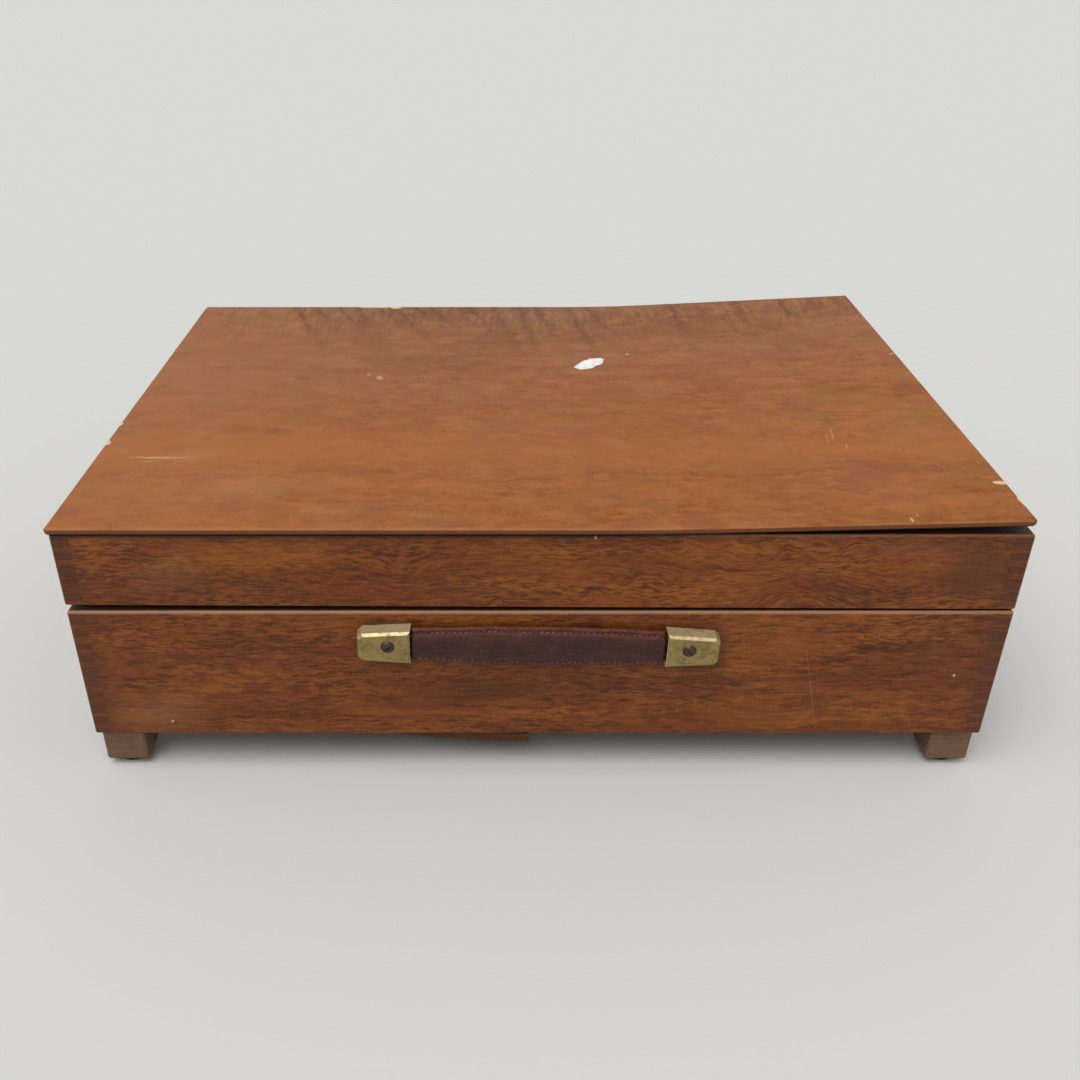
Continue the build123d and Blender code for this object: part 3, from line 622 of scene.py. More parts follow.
def top_chips(tree, colour, place):
    """Chips down to the raw wood, pale scratches, and one large white chip."""
    colours = bpy.context.scene.case_colours
    for shape in CHIPS:
        colour = coat(tree, colour, colours.raw_wood, 1.0, ragged_spot(tree, place, *shape))
    for *shape, strength in SCRATCHES:
        scratch = ragged_spot(tree, place, *shape, rag=0.6, rag_size=2.0, soft=0.5)
        colour = coat(tree, colour, colours.raw_wood, strength, scratch)
    rim = ragged_spot(tree, place, *WHITE_CHIP_RIM, rag=0.3, rag_size=6.0)
    colour = coat(tree, colour, colours.oak_fleck, 0.45, rim)
    smear = grain_noise(tree, place, (3.0, 7.0, 5.0))
    chalk = coat(tree, colours.chalk, colours.chalk_smeared, 0.3, (smear, 0.42, 0.62))
    white = ragged_spot(tree, place, *WHITE_CHIP, rag=0.3, rag_size=6.0)
    return coat(tree, colour, chalk, 1.0, white)


def top_edges(tree, colour, place):
    """Edges stained dark between the plies, a painted highlight along the upper arris with some
    rubbing, and painted shade on the underside.
    """
    colours = bpy.context.scene.case_colours
    coordinates = add_node(tree, "TexCoord")
    facing = add_node(tree, "SeparateXYZ", {0: coordinates.outputs["Normal"]})
    where = add_node(tree, "SeparateXYZ", {0: place})
    across, back_and_forth = where.outputs["X"], where.outputs["Y"]
    # Plies about 0.75 mm thick.
    layers = {"Vector": place, "Scale": 0.42, "Distortion": 0.6}
    plies = add_node(tree, "TexWave", layers, bands_direction="Z")
    glue_lines = add_node(tree, "Math", {0: plies, 1: 0.4}, operation="MULTIPLY")
    edge_colour = coat(tree, colours.top_edge, colours.grime, glue_lines)
    steep = (facing.outputs["Z"], 0.66, 0.45)
    colour = coat(tree, colour, edge_colour, 0.9, steep)

    # The upper arris is what lies less than a millimetre or so from an edge and isn't steep.
    low, high = (corner * PER_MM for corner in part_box("lid_top_panel"))
    right = add_node(tree, "Math", {0: across, 1: high.x}, operation="SUBTRACT")
    left = add_node(tree, "Math", {0: low.x, 1: across}, operation="SUBTRACT")
    front = add_node(tree, "Math", {0: low.y, 1: back_and_forth}, operation="SUBTRACT")
    sides = add_node(tree, "Math", {0: right, 1: left}, operation="MAXIMUM")
    outer = add_node(tree, "Math", {0: sides, 1: front}, operation="MAXIMUM")
    nose = add_node(tree, "MapRange", {0: outer, 1: -1.5, 2: -0.5}, **EASED)
    edge = add_node(tree, "MapRange", dict(enumerate(steep)), **EASED)
    arris = add_node(tree, "Math", {0: nose, 1: edge}, operation="SUBTRACT", use_clamp=True)
    # A painted highlight along the upper arris, partly rubbed varnish, broken up in patches.
    rubbed = add_node(tree, "Math", {0: arris, 1: 0.3}, operation="MULTIPLY")
    patchy = grain_noise(tree, place, (40.0, 9.0, 4.0), 3.0)
    colour = coat(tree, colour, colours.top_haze, rubbed, (patchy, 0.3, 0.55))
    # Painted shade on the faces that look down.
    return coat(tree, colour, colours.grime, 0.85, (facing.outputs["Z"], -0.3, -0.6))


def plain_wood(name, shade, along, seed, roughness, contrast=0.5):
    """Wood under a thin stain with no varnish: soft streaks, dirt and a dry surface."""
    material, tree, colours = blank_material(name)
    place = grain_space(tree, along, seed)
    streaks = grain_noise(tree, place, (38.0, 1.6, 1.6), 4.0, 0.6)
    colour = coat(tree, shade, colours.oak_fleck, contrast, (streaks, 0.4, 0.68))
    dirt = (colours.oak_corner, 0.4, 0.45, 0.7, (11.0, 9.0, 9.0), 3.0, 0.6)
    scuffs = (colours.oak_worn, 0.4, 0.62, 0.72, (5.0, 1.2, 1.2), 3.0, 0.7)
    colour = noisy_coats(tree, colour, place, dirt, scuffs)
    surface = {"Roughness": roughness, "Specular IOR Level": 0.25}
    return finish(material, colour, streaks, 0.4, 0.15, surface)


def tarnished_brass(name, bright, seed, film):
    """Brass long unpolished: a dull olive film, pitted, rubbed bright on its edges, with a painted
    highlight on its edges and upper faces.

    film from 0 to 1 is its thickness; it is an oxide, so it is less metallic than the brass.
    """
    material, tree, colours = blank_material(name)
    place = grain_space(tree, "TOP", seed)
    geometry = add_node(tree, "NewGeometry")
    softened = add_node(tree, "Bevel", {"Radius": 0.9 * MM}, samples=6)
    normals = {0: softened, 1: geometry.outputs["Normal"]}
    same = add_node(tree, "VectorMath", normals, operation="DOT_PRODUCT")
    edges = add_node(tree, "MapRange", {0: same, 1: 0.985, 2: 0.86}, **EASED)
    coordinates = add_node(tree, "TexCoord")
    facing = add_node(tree, "SeparateXYZ", {0: coordinates.outputs["Normal"]})
    # Painted light: upper faces are bared of film and brightened as if lit from above.
    lit_from_above = add_node(tree, "MapRange", {0: facing.outputs["Z"], 1: 0.3, 2: 0.9}, **EASED)
    rubbed_and_lit = add_node(tree, "Math", {0: edges, 1: lit_from_above}, operation="MAXIMUM")
    patches = grain_noise(tree, place, (3.5, 3.5, 3.5), 3.0, 0.6)
    patchy = add_node(tree, "MapRange", {0: patches, 1: 0.36, 2: 0.56, 3: 0.3})
    # Bare holds both the rubbed edges and the painted light on the upper faces.
    bare = add_node(tree, "Math", {0: rubbed_and_lit, 1: patchy}, operation="MULTIPLY")

    mottle = grain_noise(tree, place, (2.2, 2.2, 2.2), 4.0, 0.65)
    spotty = add_node(tree, "MapRange", {0: mottle, 1: 0.36, 2: 0.66, 4: 0.34}, **EASED)
    clouds = grain_noise(tree, place, (8.0, 8.0, 8.0))
    cloudy = add_node(tree, "MapRange", {0: clouds, 1: 0.3, 2: 0.6}, **EASED)
    whole = add_node(tree, "Math", {0: spotty, 1: cloudy, 2: film}, operation="MULTIPLY_ADD")
    film_off_rubbed_and_lit = add_node(tree, "Math", {0: bare, 1: 0.85}, operation="MULTIPLY")
    left = add_node(tree, "Math", {0: whole, 1: film_off_rubbed_and_lit}, operation="SUBTRACT", use_clamp=True)
    colour = coat(tree, bright, colours.cap_tarnish, left)
    # The rubbed colour is laid here as a painted highlight over the wear on the edges and upper
    # faces.
    shine = add_node(tree, "Math", {0: bare, 1: 0.55}, operation="MULTIPLY")
    colour = coat(tree, colour, colours.brass_rubbed, shine)
    pits = grain_noise(tree, place, (0.6, 0.6, 0.6))
    colour = coat(tree, colour, colours.grime, 0.5, (pits, 0.62, 0.7))
    surface = {
        "Metallic": add_node(tree, "MapRange", {0: left, 3: 0.55, 4: 0.4}),
        "Roughness": add_node(tree, "MapRange", {0: left, 3: 0.38, 4: 0.56}),
    }
    return finish(material, colour, mottle, 0.3, 0.06, surface)


def browned_steel():
    """Steel screws gone brown: dark, and a little rust."""
    material, tree, colours = blank_material("steel_browned")
    rust = grain_noise(tree, grain_space(tree, "TOP", 3), (1.1, 1.1, 1.1), 4.0, 0.7)
    colour = coat(tree, colours.steel, colours.rust, 1.0, (rust, 0.5, 0.68))
    rough = add_node(tree, "MapRange", {0: rust, 1: 0.35, 2: 0.65, 3: 0.3, 4: 0.6})
    return finish(material, colour, rust, 0.4, 0.05, {"Metallic": 0.85, "Roughness": rough})


def strap_leather():
    """Vegetable-tanned leather, dyed dark: fine pebbling, rubbed red along its edges, creased."""
    material, tree, colours = blank_material("leather_strap_dyed")
    place = grain_space(tree, "X", 5)
    blotches = grain_noise(tree, place, (16.0, 7.0, 7.0), 3.0, 0.6)
    colour = coat(tree, colours.leather, colours.leather_warm, 0.7, (blotches, 0.35, 0.7))
    scuffs = (colours.leather_worn, 0.4, 0.58, 0.7, (22.0, 0.9, 0.9), 3.0, 0.7)
    dust = (colours.leather_dust, 0.2, 0.56, 0.72, (4.0, 0.9, 0.9), 3.0, 0.65)
    colour = noisy_coats(tree, colour, place, scuffs, dust)
    edge = add_node(tree, "Attribute", attribute_name="edge")
    worn = add_node(tree, "Math", {0: edge.outputs["Fac"], 1: 0.85}, operation="MULTIPLY")
    rub = grain_noise(tree, place, (7.0, 1.2, 1.2), 3.0, 0.65)
    colour = coat(tree, colour, colours.leather_worn, worn, (rub, 0.38, 0.58))
    # Cross creases, a few millimetres apart, as bending leaves them.
    creases = grain_noise(tree, place, (1.2, 26.0, 10.0), 3.0, 0.55)
    colour = coat(tree, colour, colours.leather_crease, 0.35, (creases, 0.57, 0.68))
    rough = add_node(tree, "MapRange", {0: blotches, 1: 0.3, 2: 0.7, 3: 0.45, 4: 0.65})
    # Pebbles about 0.9 mm across.
    grains = {"Vector": place, "Scale": 1.1, "Randomness": 1.0}
    pebble = add_node(tree, "TexVoronoi", grains, feature="SMOOTH_F1")
    sunk = add_node(tree, "MapRange", {0: creases, 1: 0.57, 2: 0.68, 4: -0.8}, **EASED)
    relief = add_node(tree, "Math", {0: sunk, 1: pebble.outputs["Distance"]}, operation="ADD")
    surface = {"Roughness": rough, "Specular IOR Level": 0.3}
    return finish(material, colour, relief, 0.45, 0.13, surface)


def plain_thread():
    """Waxed linen thread, twisted: dull, with the twist drawn coarser than life so that it shows."""
    material, tree, colours = blank_material("thread_waxed_linen")
    place = grain_space(tree, "X", 8)
    # A strand about every 0.45 mm.
    strands = {"Vector": place, "Scale": 1.4, "Distortion": 1.0}
    twist = add_node(tree, "TexWave", strands, bands_direction="DIAGONAL")
    grime = grain_noise(tree, place, (6.0, 3.0, 3.0))
    colour = coat(tree, colours.thread, colours.leather_worn, 1.0, (grime, 0.4, 0.6))
    return finish(material, colour, twist, 0.5, 0.08, {"Roughness": 0.75})


def black_rubber():
    """Moulded rubber, scuffed grey in patches."""
    material, tree, colours = blank_material("rubber_moulded")
    scuff = grain_noise(tree, grain_space(tree, "TOP", 9), (3.0, 3.0, 1.0), 4.0, 0.7)
    colour = coat(tree, colours.rubber, colours.rubber_scuffed, 1.0, (scuff, 0.5, 0.75))
    return finish(material, colour, scuff, 0.3, 0.1, {"Roughness": 0.8})


def green_baize():
    """Milled wool baize: short matted fibres, a dusty sheen, faded patches and lint."""
    material, tree, colours = blank_material("baize_milled_wool")
    place = grain_space(tree, "TOP", 11)
    fibres = grain_noise(tree, place, (1.6, 0.5, 0.5), 3.0, 0.7, 1.2)
    colour = coat(tree, colours.baize, colours.baize_nap, 1.0, (fibres, 0.35, 0.65))
    faded = (colours.baize_faded, 0.4, 0.45, 0.7, (90.0, 70.0, 70.0), 3.0, 0.6)
    lint = (colours.lint, 0.6, 0.7, 0.76, (1.4, 1.4, 1.4))
    colour = noisy_coats(tree, colour, place, faded, lint)
    surface = {"Roughness": 0.95, "Sheen Weight": 0.35, "Sheen Roughness": 0.6}
    return finish(material, colour, fibres, 0.6, 0.25, surface)


# ------------------------------------------------------------------ meshes
# Points nearer than this are one, and edges that turn by more than this are rounded.
WELD_DISTANCE = 0.002 * MM
SHARPEST_LEFT = math.radians(25)

# The strap: how far its back is from the board, the step between its sections, and how far it
# stops short of the caps. Then its tongues inside the caps: thickness at the edge and at the
# crown, length, and sections.
STRAP_BACK = 1.05 * MM
STRAP_STEP = 0.9 * MM
CAP_CLEARANCE = 0.35 * MM
TONGUE_EDGE = 2.4 * MM
TONGUE_CROWN = 2.8 * MM
TONGUE_LENGTH = 17 * MM
TONGUE_STEPS = 16
# How high its edge wobbles and its face ripples, with the waves in each metre of their noise
# and the row of the noise they are read from. Its face is what lies out past FACE_OUT.
EDGE_WOBBLE = 0.35 * MM
EDGE_WAVES = 55
EDGE_ROW = 3.1
FACE_OUT = 2.5 * MM
FACE_RIPPLE = 0.12 * MM
FACE_WAVES = (160, 90)
FACE_ROW = 7.7
# One crease across it, right of its middle: where, half width and depth.
CREASE_AT = 12 * MM
CREASE_WIDTH = 2.2 * MM
CREASE_DEPTH = 0.16 * MM
# Stitches: half length as a share of the pitch, how flat, tilted and deep they lie, and how
# unevenly they are pulled in.
STITCH_HALF_LENGTH = 0.36
STITCH_FLATNESS = 0.75
STITCH_TILT = math.radians(6)
STITCH_DEPTH = 0.02 * MM
STITCH_PULL = 0.12 * MM
STITCH_WAVES = 900
STITCH_ROW = 2.0

# A domed head: its steps from foot to tip and its sides, where its wall ends and its dome starts
# as shares of its height, and its shank's radius as a share of its own.
HEAD_STEPS = 6
HEAD_SIDES = 40
HEAD_WALL = 0.25
DOME_FOOT = 0.3
SHANK_SHARE = 0.45
SHANK_SIDES = 24
# A driver slot: the height of its bottom as a share of the head's, and its length in radii.
SLOT_BOTTOM = 0.45
SLOT_LENGTH = 2.4

# Cloth: cells each way, the gap under it, how much of its thickness it keeps where it lies
# flattest, how high it swells elsewhere, and how much it thins at its rim.
CLOTH_COLUMNS = 96
CLOTH_ROWS = 66
CLOTH_GAP = 0.05 * MM
CLOTH_FLATTEST = 0.75
CLOTH_SWELL = 0.25 * MM
CLOTH_WAVES = 14
RIM_THINNING = 0.35 * MM
# Rays that find the solid start this far off it, and this far inside its outline.
RAY_START = 10 * MM
RAY_INSET = 0.5 * MM

# The floor's radius, in metres, and its sides.
FLOOR_RADIUS = 14.0
FLOOR_SIDES = 96


def dress(names, material, arris=0.0, steps=2):
    """Gives solids of the case their material and rounds their edges a little."""
    for name in names:
        piece = nodes[name]
        piece.data.materials.clear()
        piece.data.materials.append(material)
        if arris:
            weld = piece.modifiers.new("Weld", "WELD")
            weld.merge_threshold = WELD_DISTANCE
            bevel = piece.modifiers.new("Arris", "BEVEL")
            bevel.width = arris
            bevel.segments = steps
            bevel.limit_method = "ANGLE"
            bevel.angle_limit = SHARPEST_LEFT
            normals = piece.modifiers.new("Even shading", "WEIGHTED_NORMAL")
            normals.keep_sharp = True


def new_piece(name, material, fill, *details, smooth=True):
    """Makes an object from a bmesh that a function fills, given the details of the piece."""
    mesh = bpy.data.meshes.new(name)
    made = bmesh.new()
    fill(made, *details)
    bmesh.ops.recalc_face_normals(made, faces=made.faces)
    for face in made.faces:
        face.smooth = smooth
    made.to_mesh(mesh)
    made.free()
    mesh.materials.append(material)
    piece = bpy.data.objects.new(name, mesh)
    bpy.context.scene.collection.objects.link(piece)
    return piece


def bridge(made, rings):
    """Faces between each ring of vertices and the next."""
    for near, far in zip(rings, rings[1:]):
        for j in range(len(near)):
            k = (j + 1) % len(near)
            made.faces.new((near[j], near[k], far[k], far[j]))


def strap_matrix():
    """The handle's own space: X along it, Y up the front, Z out of the board."""
    low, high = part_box("leather_strap")
    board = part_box("base_front_board")[0].y
    middle = Vector(((low.x + high.x) / 2, board, (low.z + high.z) / 2))
    upright = Matrix(((1, 0, 0), (0, 0, -1), (0, 1, 0))).to_4x4()
    skew = Matrix.Rotation(bpy.context.scene.case_sizes.handle_skew, 4, "Y")
    return Matrix.Translation(middle) @ skew @ upright


def strap_shoulder():
    """How far from its middle the strap keeps its full width: just short of the caps."""
    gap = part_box("right_handle_cap")[0].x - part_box("left_handle_cap")[1].x
    return gap / 2 - CAP_CLEARANCE


def strap_half_height(along, shoulder):
    """Half the strap's width at a place between the caps: widest at its middle."""
    sizes = bpy.context.scene.case_sizes
    bow = 1 - (along / shoulder) ** 2
    end = sizes.strap_end_height / 2
    wobble = noise.noise(Vector((along * EDGE_WAVES, EDGE_ROW, 0))) * EDGE_WOBBLE
    return end + (sizes.strap_middle_height / 2 - end) * bow + wobble * min(1.0, 3 * bow)


def strap_profile(half, edge, crown):
    """The strap's outline at one place: (up, out, edge share) points all the way round.

    From the upper edge it rises to a lip, dips at the stitches and swells to its padded crown.
    """
    lip = STRAP_BACK + edge
    top = STRAP_BACK + crown
    groove = half - bpy.context.scene.case_sizes.stitch_inset
    front = (
        (half - 0.15 * MM, STRAP_BACK + edge * 0.35, 1.0),
        (half, STRAP_BACK + edge * 0.62, 1.0),
        (half - 0.25 * MM, lip - 0.35 * MM, 1.0),
        (half - 0.8 * MM, lip, 0.95),
        (groove + 0.75 * MM, lip + 0.12 * MM, 0.8),
        (groove + 0.3 * MM, lip - 0.18 * MM, 0.45),
        (groove - 0.25 * MM, lip - 0.15 * MM, 0.35),
        (groove - 0.8 * MM, lip + 0.45 * MM, 0.5),
        (groove - 1.7 * MM, top - 0.85 * MM, 0.25),
        (groove * 0.55, top - 0.25 * MM, 0.0),
        (groove * 0.28, top - 0.06 * MM, 0.0),
        (0.0, top, 0.0),
    )
    lower = [(-up, out, share) for up, out, share in reversed(front[:-1])]
    rear = half - 0.6 * MM
    behind = ((-rear, STRAP_BACK, 1.0), (0.0, STRAP_BACK, 0.0), (rear, STRAP_BACK, 1.0))
    return [*front, *lower, *behind]


def strap_half(made, side):
    """One half of the strap, side -1 left or +1 right, closed at both ends."""
    sizes = bpy.context.scene.case_sizes
    shoulder = strap_shoulder()
    place = strap_matrix()
    edge_layer = made.verts.layers.float.new("edge")
    count = round(shoulder / STRAP_STEP)
    stations = []
    for i in range(count + 1):
        along = side * shoulder * i / count
        half = strap_half_height(along, shoulder)
        outline = strap_profile(half, sizes.strap_edge_thickness, sizes.strap_thickness)
        stations.append((along, sizes.strap_drop, outline))
    tongue = strap_profile(sizes.strap_tongue_height / 2, TONGUE_EDGE, TONGUE_CROWN)
    for i in range(TONGUE_STEPS + 1):
        stations.append((side * (shoulder + TONGUE_LENGTH * i / TONGUE_STEPS), 0.0, tongue))
    rings = []
    for along, drop, outline in stations:
        crease = math.exp(-(((along - CREASE_AT) / CREASE_WIDTH) ** 2)) * CREASE_DEPTH
        ring = []
        for up, out, share in outline:
            if out > FACE_OUT:
                waves = Vector((along * FACE_WAVES[0], up * FACE_WAVES[1], FACE_ROW))
                out += noise.noise(waves) * FACE_RIPPLE - crease
            ring.append(made.verts.new(place @ Vector((along, up - drop, out))))
            ring[-1][edge_layer] = share
        rings.append(ring)
    bridge(made, rings)
    for end in (rings[0], rings[-1]):
        for edge in made.faces.new(end).edges:
            edge.smooth = False


def stitch_rows(made, side):
    """The stitches of one half of the strap, both rows."""
    sizes = bpy.context.scene.case_sizes
    shoulder = strap_shoulder()
    place = strap_matrix()
    radius = sizes.thread_thickness / 2
    depth = STRAP_BACK + sizes.strap_edge_thickness - STITCH_DEPTH
    length = STITCH_HALF_LENGTH * sizes.stitch_pitch / radius
    squash = Matrix.Diagonal((length, 1.0, STITCH_FLATNESS, 1.0))
    for row in (-1, 1):
        tilt = Matrix.Rotation(STITCH_TILT * row, 4, "Z")
        for i in range(int(shoulder / sizes.stitch_pitch)):
            along = side * (i + 0.5) * sizes.stitch_pitch
            half = strap_half_height(along, shoulder)
            up = row * (half - sizes.stitch_inset) - sizes.strap_drop
            pull = noise.noise(Vector((along * STITCH_WAVES, row, STITCH_ROW))) * STITCH_PULL
            spot = place @ Matrix.Translation((along, up, depth + pull)) @ tilt @ squash
            bmesh.ops.create_icosphere(made, subdivisions=2, radius=radius, matrix=spot)


def turned_heads(made, planes, radius, height, shank=0.0):
    """Domed heads, each with a shank below it if the shank has a length.

    Each plane is a matrix whose Z points out of the surface that the head sits on.
    """
    profile = [(radius, 0.0), (radius, height * HEAD_WALL)]
    for step in range(2, HEAD_STEPS):
        lean = math.pi / 2 * step / HEAD_STEPS
        rise = DOME_FOOT + (1 - DOME_FOOT) * math.sin(lean)
        profile.append((radius * math.cos(lean), height * rise))
    turns = [2 * math.pi * j / HEAD_SIDES for j in range(HEAD_SIDES)]
    for plane in planes:
        rings = []
        for out, up in profile:
            spots = [Vector((out * math.cos(turn), out * math.sin(turn), up)) for turn in turns]
            rings.append([made.verts.new(plane @ spot) for spot in spots])
        made.faces.new(rings[0][::-1])
        bridge(made, rings)
        tip = made.verts.new(plane @ Vector((0, 0, height)))
        last = rings[-1]
        for j in range(HEAD_SIDES):
            made.faces.new((last[j], last[(j + 1) % HEAD_SIDES], tip))
        if shank:
            bmesh.ops.create_cone(
                made,
                cap_ends=True,
                segments=SHANK_SIDES,
                radius1=radius * SHANK_SHARE,
                radius2=radius * SHANK_SHARE,
                depth=shank,
                matrix=plane @ Matrix.Translation((0, 0, -shank / 2)),
            )


def slot_blocks(made, planes, turns, length, width, height):
    """A block across each head where its driver slot is cut."""
    for plane, turn in zip(planes, turns):
        lift = Matrix.Translation((0, 0, height * (SLOT_BOTTOM + 0.5)))
        spin = Matrix.Rotation(turn, 4, "Z")
        size = Matrix.Diagonal((length, width, height, 1.0))
        bmesh.ops.create_cube(made, size=1.0, matrix=plane @ lift @ spin @ size)


def cut_slots(piece, planes, radius, height, width, turns):
    """Cuts a driver slot across each head with one boolean, and applies it."""
    brass = piece.data.materials[0]
    block = (planes, turns, SLOT_LENGTH * radius, width, height)
    cutter = new_piece(piece.name + "_cutter", brass, slot_blocks, *block, smooth=False)
    cut = piece.modifiers.new("Slots", "BOOLEAN")
    cut.operation = "DIFFERENCE"
    cut.object = cutter
    bpy.context.view_layer.objects.active = piece
    bpy.ops.object.modifier_apply(modifier=cut.name)
    bpy.data.objects.remove(cutter)


def laid_cloth(made, solid_name, up):
    """A sheet of cloth laid on the far side of a thin solid.

    up is +1 for the floor, whose cloth shows from above, and -1 for the lid.
    """
    thickness = bpy.context.scene.case_sizes.lining_thickness * CLOTH_FLATTEST
    low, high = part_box(solid_name)
    solid = BVHTree.FromObject(nodes[solid_name], bpy.context.evaluated_depsgraph_get())
    start_z = low.z - RAY_START if up > 0 else high.z + RAY_START
    grid = []
    for i in range(CLOTH_COLUMNS + 1):
        line = []
        for j in range(CLOTH_ROWS + 1):
            x = low.x + (high.x - low.x) * i / CLOTH_COLUMNS
            y = low.y + (high.y - low.y) * j / CLOTH_ROWS
            start_x = min(max(x, low.x + RAY_INSET), high.x - RAY_INSET)
            start_y = min(max(y, low.y + RAY_INSET), high.y - RAY_INSET)
            hit = solid.ray_cast(Vector((start_x, start_y, start_z)), Vector((0, 0, up)))[0]
            under = hit.z + up * CLOTH_GAP
            waves = Vector((x * CLOTH_WAVES, y * CLOTH_WAVES, up))
            swell = CLOTH_SWELL * (0.5 + noise.noise(waves))
            on_rim = i in (0, CLOTH_COLUMNS) or j in (0, CLOTH_ROWS)
            over = under + up * (thickness + swell - RIM_THINNING * on_rim)
            line.append((made.verts.new((x, y, under)), made.verts.new((x, y, over))))
        grid.append(line)
    for i in range(CLOTH_COLUMNS):
        for j in range(CLOTH_ROWS):
            corners = (grid[i][j], grid[i + 1][j], grid[i + 1][j + 1], grid[i][j + 1])
            for skin in zip(*corners):
                made.faces.new(skin)
    rim = [grid[i][0] for i in range(CLOTH_COLUMNS)] + grid[-1][:-1]
    rim += [grid[i][-1] for i in range(CLOTH_COLUMNS, 0, -1)] + grid[0][:0:-1]
    for (under, over), (next_under, next_over) in zip(rim, rim[1:] + rim[:1]):
        made.faces.new((under, next_under, next_over, over))


def studio_floor(made):
    """A disc much larger than the case."""
    bmesh.ops.create_circle(made, cap_ends=True, segments=FLOOR_SIDES, radius=FLOOR_RADIUS)


# ------------------------------------------------------------------ operators
# Edges that aren't rounded as the rest are.
FOOT_ARRIS = 1.2 * MM
GLIDE_ARRIS = 0.5 * MM
CAP_ARRIS = 0.62 * MM
CAP_ARRIS_STEPS = 4
HANDLE_SCREW_ARRIS = 0.1 * MM
# Hinge screws: the head's height, its slot's width, how each slot is turned, and how far forward
# of the middle of the leaf's flat they sit.
HINGE_HEAD = 0.35 * MM
HINGE_SLOT = 0.6 * MM
HINGE_SLOT_TURNS = (0.4, 1.3, 2.2, 3.1)
HINGE_SCREW_FORWARD = 0.6 * MM
# Hook screws and pegs: the head's height, the shank's length, the slot's width, how each slot
# is turned, and the radii of the heads.
HOOK_HEAD = 1.75 * MM
HOOK_SHANK = 9 * MM
HOOK_SLOT = 0.9 * MM
HOOK_SLOT_TURNS = (0.5, 2.1)
PIVOT_RADIUS = 4.0 * MM
PEG_RADIUS = 3.4 * MM


class CASE_OT_boards(bpy.types.Operator):
    """Stain and varnish the boards of the base and the lid"""

    bl_idname = "case.boards"
    bl_label = "Boards"

    def execute(self, context):
        # Name, run of the grain, seed, sway, curl and depth of stain, then marks, calm and arches.
        looks = (
            ("base_front_board", "X", 1, 9.0, 4.0, 0.1, BASE_FRONT_MARKS, BASE_CALM),
            ("lid_front_board", "X", 2, 7.0, 8.0, 0.0, LID_FRONT_MARKS, LID_CALM, LID_ARCHES),
            ("base_back_board", "X", 3, 8.0, 3.0, 0.2),
            ("lid_back_board", "X", 4, 8.0, 3.0, 0.1),
            ("base_left_board", "Y", 5, 7.0, 3.0, 0.2),
            ("lid_left_board", "Y", 6, 7.0, 4.0, 0.1),
            ("base_right_board", "Y", 7, 7.0, 3.0, 0.2),
            ("lid_right_board", "Y", 8, 7.0, 4.0, 0.1),
        )
        for name, *look in looks:
            material = oak_board("oak_stained_" + name, *look)
            dress([name], material, context.scene.case_sizes.arris)
        return {"FINISHED"}


class CASE_OT_panels(bpy.types.Operator):
    """Finish the top and the bottom panels"""

    bl_idname = "case.panels"
    bl_label = "Panels"

    def execute(self, context):
        colours = context.scene.case_colours
        dress(["lid_top_panel"], top_sheet(), context.scene.case_sizes.arris)
        plywood = plain_wood("plywood_bare", colours.plywood, "TOP", 12, 0.75)
        dress(["bottom_panel"], plywood)
        split = plain_wood("plywood_split", colours.split, "X", 14, 0.75, 0.35)
        dress(["bottom_split_tongue"], split)
        return {"FINISHED"}


class CASE_OT_feet(bpy.types.Operator):
    """Finish the feet and their rubber glides"""

    bl_idname = "case.feet"
    bl_label = "Feet"

    def execute(self, context):
        foot = context.scene.case_colours.foot
        wood = plain_wood("hardwood_stained", foot, "X", 13, 0.6, 0.35)
        rubber = black_rubber()
        for corner in ("front_left", "front_right", "back_left", "back_right"):
            dress([f"foot_{corner}"], wood, FOOT_ARRIS)
            dress([f"foot_glide_{corner}"], rubber, GLIDE_ARRIS)
        return {"FINISHED"}


class CASE_OT_handle(bpy.types.Operator):
    """Finish the caps and their screws, and sew the leather strap"""

    bl_idname = "case.handle"
    bl_label = "Handle"

    def execute(self, context):
        brass = tarnished_brass("brass_stamped", context.scene.case_colours.cap_brass, 2, 0.55)
        dress(["left_handle_cap", "right_handle_cap"], brass, CAP_ARRIS, CAP_ARRIS_STEPS)
        dress(["handle_screws"], browned_steel(), HANDLE_SCREW_ARRIS)
        leather = strap_leather()
        thread = plain_thread()
        for side, hand in ((-1, "left"), (1, "right")):
            half = new_piece(f"strap_{hand}_half", leather, strap_half, side)
            rows = new_piece(f"strap_{hand}_stitches", thread, stitch_rows, side)
            for piece in (half, rows):
                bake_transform(piece)
            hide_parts("leather_strap")
        return {"FINISHED"}


class CASE_OT_hinges(bpy.types.Operator):
    """Finish the hinges and add the heads of their screws"""

    bl_idname = "case.hinges"
    bl_label = "Hinges"

    def execute(self, context):
        sizes = context.scene.case_sizes
        brass = tarnished_brass("brass_drawn", context.scene.case_colours.hardware_brass, 4, 0.15)
        dress(["left_hinge_pin", "right_hinge_pin"], brass)
        radius = sizes.screw_head / 2
        for part, body, up in (("base", "case_base", 1), ("lid", "lid", -1)):
            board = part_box(f"{part}_back_board")
            z = board[1].z if up > 0 else board[0].z
            facing = Matrix.Rotation(0 if up > 0 else math.pi, 4, "X")
            planes = []
            for hand in ("left", "right"):
                leaf = f"{hand}_hinge_{part}_leaf"
                dress([leaf], brass, sizes.metal_arris / 2)
                low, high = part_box(leaf)
                y = (low.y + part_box(f"{hand}_hinge_pin")[0].y) / 2 - HINGE_SCREW_FORWARD
                for side in (-1, 1):
                    x = (low.x + high.x) / 2 + side * sizes.screw_spread / 2
                    planes.append(Matrix.Translation((x, y, z)) @ facing)
            name = f"hinge_{part}_screw_heads"
            heads = new_piece(name, brass, turned_heads, planes, radius, HINGE_HEAD)
            cut_slots(heads, planes, radius, HINGE_HEAD, HINGE_SLOT, HINGE_SLOT_TURNS)
            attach(heads, body)
        return {"FINISHED"}


